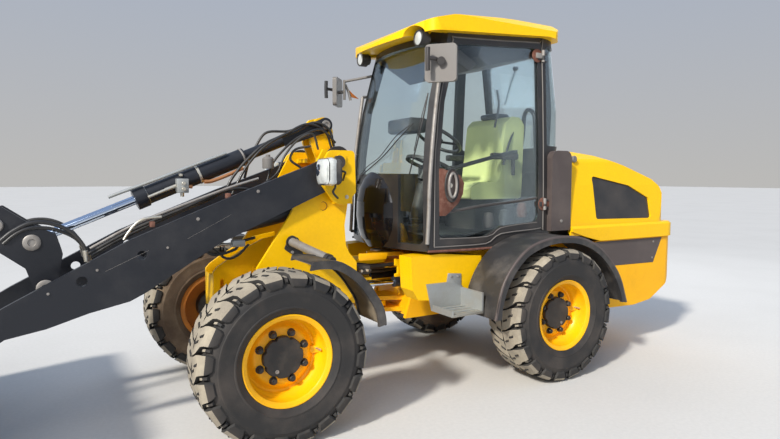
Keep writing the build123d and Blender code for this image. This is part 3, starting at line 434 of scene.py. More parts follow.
# Where the tread's looks end
TREAD_HALF = 90
CARCASS_STEPS = 100
# Rows of a lug, from the middle outward, that carry dust
DUSTY_ROWS = 5
# Material places of a tyre
RUBBER_LOOK, FLANK_LOOK, DUST_LOOK, INNER_LOOK = range(4)


def wheel_centre(sx, sy):
    return P(sx * AXLE_X, sy * WHEEL_Y, WHEEL_Z)


def tyre_mesh(name, place, sx, sy):
    verts, looks = [], []
    n = len(CARCASS)
    centre = wheel_centre(sx, sy)

    def at(r, angle, across):
        return centre + Vector((cos(angle) * r, across, sin(angle) * r)) * MM

    for i in range(CARCASS_STEPS):
        for r, h in CARCASS:
            verts.append(at(r, tau * i / CARCASS_STEPS, h * sy))
    faces = section_faces(CARCASS_STEPS, n)
    for (_, inner), (_, outer) in zip(CARCASS, CARCASS[1:]):
        middle = (inner + outer) / 2
        looks.append(RUBBER_LOOK if abs(middle) < TREAD_HALF else INNER_LOOK if middle < 0 else FLANK_LOOK)
    looks *= CARCASS_STEPS

    def lump(rows, base, side, foot_r, dusty_rows):
        start = len(verts)
        for across, r, back, front in rows:
            for s, longer in ((back, -FOOT_LONGER), (front, FOOT_LONGER)):
                y = across * side * sy
                inner = across if across < SHOULDER else across - FOOT_IN
                low = foot_r if across < SHOULDER else r - FOOT_DOWN
                verts.append(at(r, base + s / TYRE_R, y))
                verts.append(at(low, base + (s + longer) / TYRE_R, inner * side * sy))
        for k in range(len(rows) - 1):
            p, q = start + 4 * k, start + 4 * (k + 1)
            faces.extend([(p, q, q + 2, p + 2), (p + 1, q + 1, q, p), (p + 2, q + 2, q + 3, p + 3)])
            looks.extend([DUST_LOOK if k < dusty_rows else FLANK_LOOK, RUBBER_LOOK, RUBBER_LOOK])
        faces.append((start, start + 2, start + 3, start + 1))
        last = start + 4 * (len(rows) - 1)
        faces.append((last + 1, last + 3, last + 2, last))
        looks.extend([RUBBER_LOOK, RUBBER_LOOK])

    for side in (1, -1):
        for i in range(LUGS):
            base = tau * (i + (0.5 if side < 0 else 0.0)) / LUGS
            lump(LUG_ROWS, base, side, CROWN_R - 12, DUSTY_ROWS)
            y0, y1, s0, s1 = TIE_RIB
            lump([(y0, 460, s0 - 8, s1 - 8), (146, 454, s0, s1), (y1, 434, s0, s1)], base, side,
                 CROWN_R - 30, 1)
            for y0, y1, s0, s1 in SLOTS:
                lean = (s1 - s0) * 2
                lump([(y0, 478.6, s0, s1), (y1, 478.4, s0 + lean, s1 + lean)], base, side, 470, 0)
    obj = make(name, verts, faces, TYRE, f"wheel_{place}_body", angle=30)
    for mat in (TYRE_SIDE, TREAD_DUST, SIDE_DUST):
        obj.data.materials.append(mat)
    for poly, look_index in zip(obj.data.polygons, looks):
        poly.material_index = look_index
    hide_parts("tyre_" + place)
    return obj


# Rim and hub: pairs of radius and distance outward from the middle plane
RIM = [
    (222, -142), (253, -142), (254, -138), (250, -132), (238, -131), (229, -127), (229, -60), (214, -40),
    (214, 40), (229, 60), (229, 127), (238, 131), (250, 132), (254, 138), (253, 142), (247, 143), (240, 138),
    (232, 136), (224, 128), (222, 100), (221, 62), (210, 42), (205, 34), (201, 12), (192, 6), (184, 8),
    (172, 20), (160, 30), (150, 32), (60, 32),
]
# Faces at the start of the rim's outline that are its back, which get the rim's painted shade
RIM_PAINTED_SHADE_FACES = 5
RIM_INSIDE = [(60, 16), (150, 16), (186, -4), (204, -6), (214, -38), (60, -2)]
BARREL_INSIDE = [(228, -126), (228, -60), (213, -40), (212, -38), (220, -62), (220, -128)]
# The nuts and studs are as near-black as the hub, a painted shade for the shadow they sit in
NUT = [(0, 0), (23, 0), (23, 5), (18, 7), (18, 24), (14, 30), (0, 30)]
STUD = [(0, 28), (8, 28), (8, 35), (0, 36)]
NUTS, NUT_CIRCLE, NUT_SEAT = 8, 138, 31
HUB_NOTCHES, HUB_NOTCH, HUB_RADIUS, HUB_FACE = 8, 10.0, 116.0, 62.0


def hub_mesh(place, centre, sy, body):
    verts = []
    ring = 96
    levels = [(1.0, 30), (1.0, HUB_FACE - 6), (0.96, HUB_FACE), (0.1, HUB_FACE + 2)]
    for share, h in levels:
        for i in range(ring):
            a = tau * i / ring
            notch = max(0, -cos(HUB_NOTCHES * a)) ** 3 * HUB_NOTCH if share > 0.9 else 0.0
            r = HUB_RADIUS * share - notch
            verts.append(centre + Vector((cos(a) * r, h * sy, sin(a) * r)) * MM)
    faces = ring_faces(ring, len(levels))
    faces.append(tuple(range((len(levels) - 1) * ring, len(levels) * ring)))
    return make("hub_" + place, verts, faces, AXLE, body)


# Corners of the guard over the tyre's valve, from the wheel's centre
VALVE_GUARD = [
    (-168, 26, -8), (-214, 50, -8), (-214, 50, 30), (-168, 26, 30), (-168, 16, -8), (-216, 16, -8),
    (-216, 16, 30), (-168, 16, 30),
]


def rim_mesh(place, sx, sy):
    centre = wheel_centre(sx, sy)
    body = f"wheel_{place}_body"
    out = (0, sy, 0)
    rim = lathe("rim_" + place, RIM, centre, out, RIM_YELLOW, body, steps=96, caps=False)
    # The rim's back faces, its dish and its inner barrel take the painted shade
    rim.data.materials.append(RIM_PAINTED_SHADE)
    for i, poly in enumerate(rim.data.polygons):
        poly.material_index = int(i % (len(RIM) - 1) < RIM_PAINTED_SHADE_FACES)
    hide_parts("wheel_" + place)
    lathe("rim_painted_shade_" + place, RIM_INSIDE, centre, out, RIM_PAINTED_SHADE, body, steps=64)
    lathe("rim_inner_" + place, BARREL_INSIDE, centre, out, RIM_PAINTED_SHADE, body, steps=64, caps=False)
    hub_mesh(place, centre, sy, body)
    # Nuts and studs in the hub's near-black paint, as painted shade
    for i in range(NUTS):
        a = tau * (i + 0.5) / NUTS
        p = centre + Vector((cos(a) * NUT_CIRCLE, sy * NUT_SEAT, sin(a) * NUT_CIRCLE)) * MM
        lathe(f"nut_{place}_{i}", NUT, p, out, AXLE, body, 12, 25)
        lathe(f"stud_{place}_{i}", STUD, p, out, AXLE, body, 12)
    plug = centre + Vector((40 * sx, sy * (HUB_FACE + 2), -72)) * MM
    lathe("hub_plug_" + place, [(0, 0), (11, 0), (11, 3), (6, 3), (5, 1), (0, 1)], plug, out, STEEL, body,
          16)
    valve = centre + Vector((-196, sy * 22, 18)) * MM
    rod("valve_" + place, valve, valve + Vector((-12, sy * 62, 0)) * MM, 6, ZINC, body, 12)
    guard = [centre + Vector((x, sy * y, z)) * MM for x, y, z in VALVE_GUARD]
    guard_faces = [(0, 1, 2, 3), (0, 4, 5, 1), (3, 2, 6, 7), (1, 5, 6, 2), (0, 3, 7, 4), (4, 7, 6, 5)]
    make("valve_guard_" + place, guard, guard_faces, RIM_YELLOW, body, bevel=3)


for place, sx, sy in PLACES:
    tyre_mesh("tyre_tread_" + place, place, sx, sy)
    rim_mesh(place, sx, sy)


# Small parts that come in rows
def prism(verts, faces, at, direction, r, h, sides, spin=0.0):
    axis = Vector(direction).normalized()
    side = axis.orthogonal().normalized()
    other = axis.cross(side)
    start = len(verts)
    for height in (0, h):
        for i in range(sides):
            a = tau * i / sides + spin
            verts.append(at + (side * cos(a) + other * sin(a)) * (r * MM) + axis * (height * MM))
    for i in range(sides):
        j = (i + 1) % sides
        faces.append((start + i, start + j, start + sides + j, start + sides + i))
    faces.append(tuple(start + sides + i for i in range(sides)))
    faces.append(tuple(start + i for i in reversed(range(sides))))


# Bolt heads with washers, in one piece: node they sit on, way in, radius and places
WASHER_SHARE, WASHER_H, HEAD_SHARE = 1.45, 3.2, 0.8
# A head's turn in radians per millimetre of X, so that no two look alike
HEAD_TURN = 0.37


def bolts(name, node, toward, r, places, body, mat=ZINC):
    verts, faces = [], []
    out = -Vector(toward)
    for x, y, z in places:
        at = on(node, x, y, z, toward, -1.0)
        prism(verts, faces, at, out, r * WASHER_SHARE, WASHER_H, 20)
        prism(verts, faces, at, out, r, WASHER_H + r * HEAD_SHARE, 6, x * HEAD_TURN)
    return make(name, verts, faces, mat, body, angle=30)


# A turned cap, washer or lens on a place, pointing one way
def disc(name, at, direction, rings, mat, body, steps=40):
    return lathe(name, rings, at, direction, mat, body, steps)


# Section of a plain bolt head: radius, height at the edge and in the middle
def head(r, h, top):
    return [(0, 0), (r, 0), (r, h), (0, top)]


# Ways in, toward the machine from its left and from behind it
FROM_LEFT, FROM_BACK = (0, -1, 0), (1, 0, 0)
# Half width of the cab by height
CAB_LEVELS = [(955, 556), (1500, 548), (1720, 541), (1980, 528), (2515, 500)]


def cab_y(z):
    for (z0, y0), (z1, y1) in zip(CAB_LEVELS, CAB_LEVELS[1:]):
        if z <= z1:
            return y0 + (y1 - y0) * (z - z0) / (z1 - z0)
    return CAB_LEVELS[-1][1]


# A trim line on a side of the cab, through points given as X, Z
def side_trim(name, points, r, mat, body, sy, out, steps=3):
    return tube(name, [P(x, sy * (cab_y(z) + out), z) for x, z in points], r, mat, body, steps, 8)


# Tilt cylinder: a point at a distance along it, off it upward and across
TILT_FROM, TILT_ALONG = (448.0, 1816.0), (0.925378, -0.379045)


def tilt(d, off=0.0, y=0.0):
    ux, uz = TILT_ALONG
    return P(TILT_FROM[0] + ux * d - uz * off, y, TILT_FROM[1] + uz * d + ux * off)


TILT_WAY = (TILT_ALONG[0], 0, TILT_ALONG[1])
# Its rings: distance along, radius, length, finish, body
for i, (d, r, length, mat, body) in enumerate([
    (1236, 59, 14, ZINC, BARREL), (1252, 62, 40, RUBBER, BARREL), (1294, 58, 18, BLACK, BARREL),
    (600, 60, 12, STEEL, BARREL), (900, 60, 16, ZINC, BARREL), (240, 42, 26, STEEL, NECK),
]):
    ring = [(r - 12, 0), (r - 2, 0), (r, 2), (r, length - 2), (r - 2, length), (r - 12, length)]
    lathe(f"tilt_ring_{i}", ring, tilt(d), TILT_WAY, mat, body, 40)
# Its pipes, by distance along, off it and across
TOP_PIPE = [(1440, 74, 40), (1390, 74, 40), (1180, 70, 40), (900, 68, 40), (700, 64, 40)]
LOW_PIPE = [(905, -48, 70), (860, -62, 66), (760, -66, 60), (640, -62, 50)]
tube("tilt_top_pipe", [tilt(*point) for point in TOP_PIPE], 10, GALV, BARREL)
tube("tilt_low_pipe", [tilt(*point) for point in LOW_PIPE], 12, COPPER, BARREL)
box("tilt_valve", 1372, 1440, 62, 128, 1362, 1448, GALV, BARREL, 5)
box("tilt_valve_strap", 1396, 1412, -58, 70, 1462, 1478, ZINC, BARREL, 2)
for i, (x, y, z, way, length) in enumerate([
    (1404, 128, 1420, (0, 1, 0), 16), (1404, 128, 1385, (0, 1, 0), 16), (1440, 95, 1405, (1, 0, -0.4), 70),
    (1372, 95, 1400, (-1, 0, -0.1), 26), (1406, 95, 1362, (0, 0, -1), 24),
]):
    a = P(x, y, z)
    rod(f"tilt_fitting_{i}", a, a + Vector(way).normalized() * (length * MM), 11, COPPER if i == 3 else ZINC,
        BARREL, 12)
rod("tilt_valve_hose", P(1502, 95, 1380), P(1600, 95, 1338), 9, ZINC, BARREL, 12)

# Hoses of the tower: radius, Y, points as X and Z
TOWER_HOSES = [
    (9, 108, [(396, 1670), (432, 1783), (543, 1826), (687, 1754), (870, 1683), (1004, 1571), (1094, 1465),
              (1136, 1394)]),
    (8, 150, [(404, 1693), (514, 1777), (658, 1727), (752, 1659), (847, 1552), (891, 1432), (930, 1350)]),
    (8, 200, [(610, 1661), (715, 1637), (750, 1572), (682, 1521), (640, 1470)]),
    (8, 122, [(420, 1655), (470, 1770), (600, 1812), (760, 1735), (900, 1650), (1010, 1530), (1075, 1420),
              (1110, 1350)]),
    (9, -108, [(960, 1450), (925, 1570), (871, 1679), (800, 1763), (655, 1777), (518, 1808), (410, 1760),
               (370, 1660)]),
    (7, 215, [(560, 1640), (600, 1740), (700, 1700), (790, 1600), (850, 1480), (960, 1400)]),
]
# Hoses and pipes on the arm: name, radius, Y, finish, points
ARM_HOSES = [
    ("arm_pipe_1", 8, 250, STEEL, [(1925, 1069), (1706, 1186), (1450, 1289), (1156, 1396), (980, 1450)]),
    ("arm_pipe_2", 10, 215, RUBBER, [(1960, 1020), (1720, 1150), (1450, 1262), (1130, 1385), (935, 1345)]),
    ("arm_fitting_hose", 8, 285, ZINC,
     [(1560, 1232), (1640, 1226), (1693, 1200), (1735, 1150), (1760, 1110)]),
    ("arm_inner_hose", 12, 120, RUBBER,
     [(1136, 1394), (1240, 1330), (1500, 1220), (1760, 1100), (1930, 1000)]),
]
# Hoses over the lever: radius, Y, points
LEVER_HOSES = [
    (11, 100,
     [(1933, 997), (1951, 1073), (2012, 1154), (2106, 1203), (2200, 1207), (2279, 1168), (2339, 1118)]),
    (11, 250,
     [(1942, 1015), (1958, 1089), (2017, 1166), (2108, 1213), (2197, 1217), (2273, 1179), (2330, 1131)]),
    (10, 205,
     [(1925, 1000), (1944, 1060), (2000, 1132), (2100, 1180), (2196, 1186), (2262, 1160), (2320, 1110)]),
    (11, -160,
     [(1933, 997), (1958, 1080), (2020, 1160), (2110, 1205), (2205, 1205), (2280, 1165), (2335, 1115)]),
]
for i, (r, y, points) in enumerate(TOWER_HOSES, 1):
    hose = tube(f"tower_hose_{i}", in_plane(y, points), r, RUBBER, None)
    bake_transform(hose)
for name, r, y, mat, points in ARM_HOSES:
    tube(name, in_plane(y, points), r, mat, ARMS)
for i, (r, y, points) in enumerate(LEVER_HOSES, 1):
    hose = tube(f"lever_hose_{i}", in_plane(y, points), r, RUBBER, None, 10, 12)
    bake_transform(hose)
    (x0, z0), (x1, z1) = points[0], points[1]
    rod(f"lever_hose_{i}_end", P(x0, y, z0 - 16), P((x0 + x1) / 2, y, (z0 + z1) / 2 + 8), r + 3, ZINC,
        ARMS, 14)

# Arms: fasteners, clamps and scratches
for side, sy in SIDES:
    bolts(f"arm_bolts_{side}", "lift_arms", (0, -sy, 0), 7, [(1012, sy * 339, 1372), (1370, sy * 339, 1216)],
          ARMS, STEEL)
bolts("arm_small_bolts", "lift_arms", FROM_LEFT, 5, [(2130, 339, 855), (1900, 339, 960), (1540, 339, 1060)],
      ARMS, STEEL)
for i, (x, z) in enumerate([(1174, 1335), (1608, 1180)]):
    box(f"arm_clamp_{i}", x - 13, x + 13, 236, 290, z - 6, z + 26, RUST, ARMS, 4)

SCRATCHES = [((1180, 1235), (1430, 1105)), ((1640, 1050), (1860, 950))]
for i, ((x0, z0), (x1, z1)) in enumerate(SCRATCHES):
    rod(f"arm_scratch_{i}", on("lift_arms", x0, 400, z0, FROM_LEFT), on("lift_arms", x1, 400, z1, FROM_LEFT),
        0.6, STEEL, ARMS, 6)

# Pin ends at the tilt lever: x, z, y of the face, radius, body
for i, (x, z, y, r, body) in enumerate([
    (2140, 850, 122, 46, ARMS), (2196, 1100, 92, 44, LEVER), (2360, 1200, 98, 40, LEVER),
]):
    for side, sy in SIDES:
        disc(f"lever_pin_{i}_{side}", P(x, sy * y, z), (0, sy, 0),
             [(0, 3), (r * 0.4, 3), (r * 0.46, 8), (r * 0.86, 8), (r, 4), (r, 0), (0, 0)], STEEL, body)

# Left lift cylinder: hoses and valve, and the rings of both
LIFT_BARREL = "lift_barrel_left_body"
LIFT_HOSES = [
    ("lift_hose_left", 9, 240,
     [(1330, 1035), (1318, 1028), (1253, 987), (1131, 1015), (1099, 1057), (1004, 1082)]),
    ("lift_hose_left_2", 8, 225, [(1300, 1060), (1240, 1010), (1180, 960), (1110, 975), (1040, 1040)]),
]
for name, r, y, points in LIFT_HOSES:
    tube(name, in_plane(y, points), r, RUBBER, LIFT_BARREL)
box("lift_valve_left", 1072, 1150, 212, 262, 1030, 1072, GALV, LIFT_BARREL, 4)
rod("lift_valve_pipe", P(1150, 238, 1050), P(1240, 238, 1046), 9, ZINC, LIFT_BARREL, 12)
LIFT_Y = 205
for side, sy in SIDES:
    a, b = P(560, sy * LIFT_Y, 1270), P(1500, sy * LIFT_Y, 1075)
    way = (b - a).normalized()
    for i, d in enumerate((0.668, 0.16)):
        lathe(f"lift_ring_{side}_{i}", [(44, 0), (54, 0), (56, 3), (56, 27), (54, 30), (44, 30)],
              a + way * d, way, RUBBER if i == 0 else STEEL, f"lift_barrel_{side}_body", 36)

# Front frame: bolts, an open hole and the fender tubes
bolts("tower_bolts", "front_frame", FROM_LEFT, 9, [(430, 294, 1330), (455, 294, 700), (980, 294, 600)],
      FRONT)
disc("tower_hole_pin", on("front_frame", 560, 300, 1270, FROM_LEFT), (0, 1, 0),
     [(0, -6), (22, -6), (26, 0), (30, 1), (31, 0), (31, -8), (0, -8)], RUST, FRONT)
for i, (x, z) in enumerate([(762, 1060), (812, 1040), (790, 985), (720, 940)]):
    disc(f"flange_bolt_{i}", P(x, 318, z), (0, 1, 0), head(10, 8, 8), STEEL, FRONT, 6)
for side, sy in SIDES:
    a, b = P(795, sy * 318, 1052), P(706, sy * 745, 975)
    way = (b - a).normalized()
    rod(f"fender_tube_sleeve_{side}", a, a + way * 0.385, 27, STEEL, FRONT, 28)
    rod(f"fender_tube_cap_{side}", a + way * 0.383, a + way * 0.412, 31, BLACK, FRONT, 28)
    disc(f"fender_flange_ring_{side}", a, way, [(0, 0), (40, 0), (40, 8), (30, 10), (0, 10)], BLACK, FRONT)

# The dusty inside of the front fenders, as a skin just under the arch
ARCH = [(905, 1002), (820, 1004), (738, 990), (606, 900), (516, 785), (468, 700), (452, 608)]
ARCH_GAP, ARCH_THICK, ARCH_EDGES = 13, 2, (618, 898)
for side, sy in SIDES:
    arch = smooth_path(in_plane(0, ARCH), 6)
    verts = []
    hub = P(AXLE_X, 0, WHEEL_Z)
    for p in arch:
        inner = p + (hub - p).normalized() * (ARCH_GAP * MM)
        verts += [Vector((inner.x, sy * y * MM, inner.z)) for y in ARCH_EDGES]
    faces = [(2 * i, 2 * i + 1, 2 * i + 3, 2 * i + 2) for i in range(len(arch) - 1)]
    skin = make(f"fender_inside_{side}", verts, faces, DUSTY, FRONT)
    thick = skin.modifiers.new("thick", "SOLIDIFY")
    thick.thickness = ARCH_THICK * MM


# Headlights: clear lens over a bright bowl, cable loops
def lens_plate(name, centre, half_y, half_z, power, bulge, mat):
    verts = []
    ring, rows = 40, 6
    for k in range(rows + 1):
        share = 1 - k / rows
        for i in range(ring):
            a = tau * i / ring
            c, s = cos(a), sin(a)
            y = copysign(abs(c) ** power, c) * half_y * share
            z = copysign(abs(s) ** power, s) * half_z * share
            verts.append(centre + Vector((bulge * (1 - share ** 2), y, z)) * MM)
    return make(name, verts, ring_faces(ring, rows + 1), mat, FRONT)


CABLE = [(565, 470, 1440), (560, 474, 1400), (578, 478, 1365), (545, 470, 1330), (520, 420, 1330)]
CABLE_B = [(545, 500, 1500), (515, 520, 1490), (500, 480, 1470), (480, 420, 1440)]
for side, sy in SIDES:
    box(f"headlight_side_lens_{side}", 592, 664, sy * 401, sy * 596, 1407, 1577, LAMP, FRONT, 30)
    lens_plate(f"headlight_lens_{side}", P(662, sy * 497.5, 1492), 84, 72, 0.6, 13, LAMP)
    lens_plate(f"headlight_bowl_{side}", P(671, sy * 470, 1500), 42, 38, 0.8, 6, CHROME)
    tube(f"headlight_cable_{side}", on_side(sy, CABLE), 7, RUBBER, FRONT)
    tube(f"headlight_cable_b_{side}", on_side(sy, CABLE_B), 7, RUBBER, FRONT)
    rod(f"headlight_pivot_{side}", P(494, sy * 374, 1556), P(494, sy * 400, 1556), 42, BLACK, FRONT, 32)

# Clevis of the tilt cylinder outside the tower's top
CLEVIS_R, CLEVIS_L, CLEVIS_Y, CLEVIS_THICK, CLEVIS_HALF = 50, 330, 81, 12, 34
for side, sy in SIDES:
    back = atan2(TILT_ALONG[1], TILT_ALONG[0]) + pi
    eye = [back + pi / 2 * (k / 6 - 1) for k in range(13)]
    points = [(TILT_FROM[0] + CLEVIS_R * cos(a), TILT_FROM[1] + CLEVIS_R * sin(a)) for a in eye]
    for off in (-CLEVIS_HALF, CLEVIS_HALF):
        end = tilt(CLEVIS_L, off)
        points.append((local_x(end), end.z / MM))
    slab_xz(f"tilt_clevis_{side}", points, sy * CLEVIS_Y, sy * (CLEVIS_Y + CLEVIS_THICK), SLATE, NECK, 3)
    disc(f"tilt_clevis_pin_{side}", P(TILT_FROM[0], sy * (CLEVIS_Y + CLEVIS_THICK), TILT_FROM[1]),
         (0, sy, 0), [(0, 2), (16, 2), (18, 8), (30, 8), (32, 0), (0, 0)], STEEL, NECK, 32)

# Behind the tower: bottle, plates, bracket and hoses at the joint
lathe("reserve_bottle", [(0, 0), (34, 0), (36, 6), (36, 62), (28, 72), (14, 76), (14, 88), (0, 88)],
      P(900, 200, 1512), (0, 0, 1), PALE, ARMS, 28)
slab_xz("orange_plate", [(279, 934), (50, 927), (62, 882), (279, 884)], 246, 258, YELLOW_DEEP, FRONT, 3)
C_BRACKET = [(-6, 880), (-56, 872), (-62, 748), (-8, 748), (-6, 772), (-28, 774), (-28, 824), (-6, 830)]
slab_xz("c_bracket", C_BRACKET, 246, 262, YELLOW, REAR, 4)
box("front_valve", 176, 270, 150, 232, 782, 846, IRON, FRONT, 8)
for i, x in enumerate((190, 212, 234, 256)):
    rod(f"valve_knob_{i}", P(x, 232, 812), P(x, 256, 812), 10, ZINC if i % 2 else BLACK, FRONT, 14)
# Form of the hoses over the joint: X, share of Y, share of sag
HOSE_FORM = [(330, 1, 0), (230, 1, 0.4), (90, 1.2, 1), (-90, 1.2, 1), (-230, 1, 0.4), (-330, 1, 0)]
for i, (y, z, sag) in enumerate([
    (60, 840, 40), (100, 850, 30), (-60, 840, 40), (-100, 850, 30), (30, 820, 50), (-30, 820, 50),
]):
    hose = tube(f"articulation_hose_{i}", [P(x, y * spread, z - sag * low) for x, spread, low in HOSE_FORM],
                14, RUBBER, None, 8, 12)
    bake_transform(hose)
disc("pivot_cap_top", P(0, 0, 914), (0, 0, 1), [(0, 0), (44, 0), (44, 8), (30, 14), (0, 14)], ZINC, REAR)

# Cab: seals, sills, rails
DOOR_EDGE = [
    (-138, 985), (-360, 983), (-585, 985), (-655, 1015), (-730, 1050), (-950, 1064), (-1128, 1075),
    (-1150, 1110), (-1150, 1700), (-1150, 2440), (-1128, 2472), (-750, 2444), (-345, 2418), (-316, 2400),
    (-255, 2200), (-192, 1980), (-160, 1720), (-146, 1600), (-140, 1300), (-138, 985),
]
for side, sy in SIDES:
    body = DOOR if sy > 0 else REAR
    side_trim(f"door_seal_{side}", DOOR_EDGE, 5, PALE if sy > 0 else BLACK, body, sy, 4, 2)
for name, sy, mat in (("cab_sill_rust", 1, RUST), ("cab_sill_right", -1, BLACK)):
    tube(name, on_side(sy, [(-88, 560, 958), (-380, 561, 952), (-724, 560, 952)]), 9, mat, REAR)
tube("cab_front_sill", [P(-60, 380, 962), P(-84, 470, 960), P(-92, 552, 960)], 8, BLACK, REAR)
RAIL = [
    (-197, 531, 2120), (-167, 533, 1910), (-135, 542, 1641), (-113, 549, 1400), (-106, 551, 1200),
    (-95, 552, 1010),
]
for side, sy in SIDES:
    tube(f"grab_rail_{side}", [P(x + 20, sy * (y + 14), z) for x, y, z in RAIL], 14, STEEL, REAR, 6, 14)
    for i, (x, y, z) in enumerate((RAIL[0], RAIL[2], RAIL[5])):
        rod(f"rail_foot_{side}_{i}", P(x + 20, sy * (y + 12), z), P(x - 4, sy * (y - 14), z), 12, PLASTIC,
            REAR, 14)

# Door: handle, rubbed plate, hinges, inner bar
HANDLE_X, HANDLE_Z = -282, 1404
OVAL_STEPS = 28


def oval(half_x, half_z, out):
    turns = [tau * i / OVAL_STEPS for i in range(OVAL_STEPS + 1)]
    return [P(HANDLE_X + half_x * cos(a), cab_y(HANDLE_Z) + out, HANDLE_Z + half_z * sin(a)) for a in turns]


slab_xz("handle_dish", [(local_x(p), p.z / MM) for p in oval(60, 118, 0)[:-1]], cab_y(HANDLE_Z) + 1,
        cab_y(HANDLE_Z) + 8, GREY, DOOR, 3)
tube("handle_dish_rim", oval(56, 112, 9), 6, PLASTIC, DOOR, 2, 10)
tube("handle_ring", oval(32, 82, 20), 10, STEEL, DOOR, 2, 12)
rod("handle_lock", P(-262, cab_y(HANDLE_Z) + 6, HANDLE_Z), P(-262, cab_y(HANDLE_Z) + 24, HANDLE_Z), 16, ZINC,
    DOOR, 24)
HANDLE_PLATE = [
    (-178, 1518), (-207, 1520), (-360, 1473), (-392, 1420), (-384, 1345), (-345, 1280), (-239, 1196),
    (-178, 1196),
]
slab_xz("handle_plate", HANDLE_PLATE, cab_y(1360) - 2, cab_y(1360) + 2, RUST, DOOR, 2)
# The door hinge's axis leans inward with height
HINGE_X, HINGE_Y, HINGE_Z, HINGE_LEAN = -1150, 572, 1260, 0.0418
for i, (x, z) in enumerate([(-1101, 2374), (-1151, 1258)]):
    y = cab_y(z)
    disc(f"hinge_plate_{i}", P(x, y - 2, z), (0, 1, 0.04),
         [(0, 0), (48, 0), (50, 3), (50, 8), (46, 10), (0, 10)], RUST, DOOR)
    box(f"hinge_leaf_{i}", x - 62, x + 22, y + 8, y + 22, z - 20, z + 20, RUST if i else STEEL, DOOR, 5)
    pin_y = HINGE_Y - HINGE_LEAN * (z - HINGE_Z)
    rod(f"hinge_pin_{i}", P(HINGE_X, pin_y, z - 44), P(HINGE_X, pin_y, z + 44), 13, STEEL, REAR, 20)
INNER_BAR = [
    (-179, 500, 1473), (-330, 484, 1516), (-501, 480, 1559), (-700, 480, 1605), (-878, 484, 1644),
    (-925, 505, 1650),
]
tube("door_inner_bar", on_side(1, INNER_BAR), 15, BLACK, DOOR, 6, 12)
side_trim("door_low_trim", [(-191, 1212), (-400, 1235), (-579, 1257), (-900, 1282), (-1120, 1306)], 12, GREY,
          DOOR, 1, -22)
side_trim("door_low_panel_edge", [(-185, 1040), (-600, 1035), (-720, 1090), (-900, 1110), (-1090, 1120)], 4,
          PALE, DOOR, 1, 1)

# Wipers
WIPERS = [
    ("wiper_arm", 4, [(-6, -300, 1422), (19, -184, 1469), (16, 0, 1548), (12, 154, 1618), (-30, 280, 1730),
                      (-79, 394, 1830)]),
    ("wiper_arm_2", 3,
     [(-6, -300, 1430), (22, -100, 1530), (20, 97, 1605), (-18, 250, 1740), (-65, 364, 1818)]),
    ("wiper_blade", 5, [(-148, 462, 2030), (-116, 461, 1880), (-75, 437, 1678), (-41, 401, 1481)]),
    ("wiper_back_bar", 3, [(-140, 462, 2010), (-92, 452, 1830), (-62, 425, 1640)]),
]
for name, r, points in WIPERS:
    tube(name, [P(x + 8, y * 1.01, z) for x, y, z in points], r, BLACK, REAR, 6, 8)
rod("wiper_pivot", P(-40, -300, 1415), P(14, -300, 1425), 20, BLACK, REAR, 20)
rod("rear_wiper_pivot", P(-1340, 0, 2380), P(-1372, 0, 2384), 18, BLACK, REAR, 20)
tube("rear_wiper", [P(-1362, 0, 2384), P(-1380, -90, 2250), P(-1388, -160, 2100)], 7, BLACK, REAR)

# Mirrors and lamps
view = (P(-45, 750, 2175) - CAM_AT).normalized()
clamp = on("mirrors", -45, 750, 2190, view)
bpy.context.view_layer.update()
rod("mirror_clamp", clamp - view * 0.004, clamp - view * 0.036, 26, BLACK, REAR, 24)
MIRROR_PIPE = [(58, 752, 2262), (60, 752, 2200), (58, 752, 2120)]
MIRROR_ARM = [(58, 752, 2197), (10, 760, 2196), (-22, 752, 2190)]
LAMP_RING = [(44, 0), (54, 0), (55, 4), (52, 8), (46, 8), (44, 3)]
LAMP_LENS = [(0, 9), (24, 8), (40, 5), (46, 2), (46, 0), (0, 0)]
for side, sy in SIDES:
    tube(f"mirror_pipe_{side}", on_side(sy, MIRROR_PIPE), 15, BLACK, REAR)
    tube(f"mirror_arm_{side}", on_side(sy, MIRROR_ARM), 13, BLACK, REAR)
    at = P(-92, sy * 420, 2400)
    disc(f"work_lamp_ring_{side}", at, (1, 0, 0), LAMP_RING, PLASTIC, REAR)
    disc(f"work_lamp_lens_{side}", at, (1, 0, 0), LAMP_LENS, LAMP, REAR)
slab_xz("far_flag", [(-170, 2167), (-110, 2218), (-152, 2138), (-230, 2127)], -716, -708, ORANGE_AND_PAINTED_SHADE, REAR, 2)
tube("far_mirror_clip", [P(-100, -712, 2240), P(-130, -712, 2180), P(-150, -712, 2110)], 11, STEEL, REAR)


# Inside the cab
def cushion(name, x0, x1, y0, y1, z0, z1, mat, soft=26):
    obj = box(name, x0, x1, y0, y1, z0, z1, mat, REAR, soft)
    obj.modifiers["bevel"].segments = 4
    return obj


cushion("headrest", -1205, -1060, -110, 110, 1935, 1985, BLACK)
for side, sy in SIDES:
    cushion(f"armrest_{side}", -1120, -860, sy * 262, sy * 318, 1600, 1650, PLASTIC, soft=14)
    rod(f"armrest_post_{side}", P(-1080, sy * 290, 1605), P(-1110, sy * 262, 1480), 15, BLACK, REAR, 16)
STEERING_AT, STEERING_AXIS = P(-560, 0, 1760), Vector((-0.52, 0, 0.85)).normalized()
STEERING_RADIUS = 0.185
STEERING_STEPS = 24


# A point of the steering wheel: at an angle, off the centre and below the ring in metres
def steering(angle, r, below=0.0):
    across = Vector((0, 1, 0))
    upward = STEERING_AXIS.cross(across)
    return STEERING_AT + (across * cos(angle) + upward * sin(angle)) * r - STEERING_AXIS * below


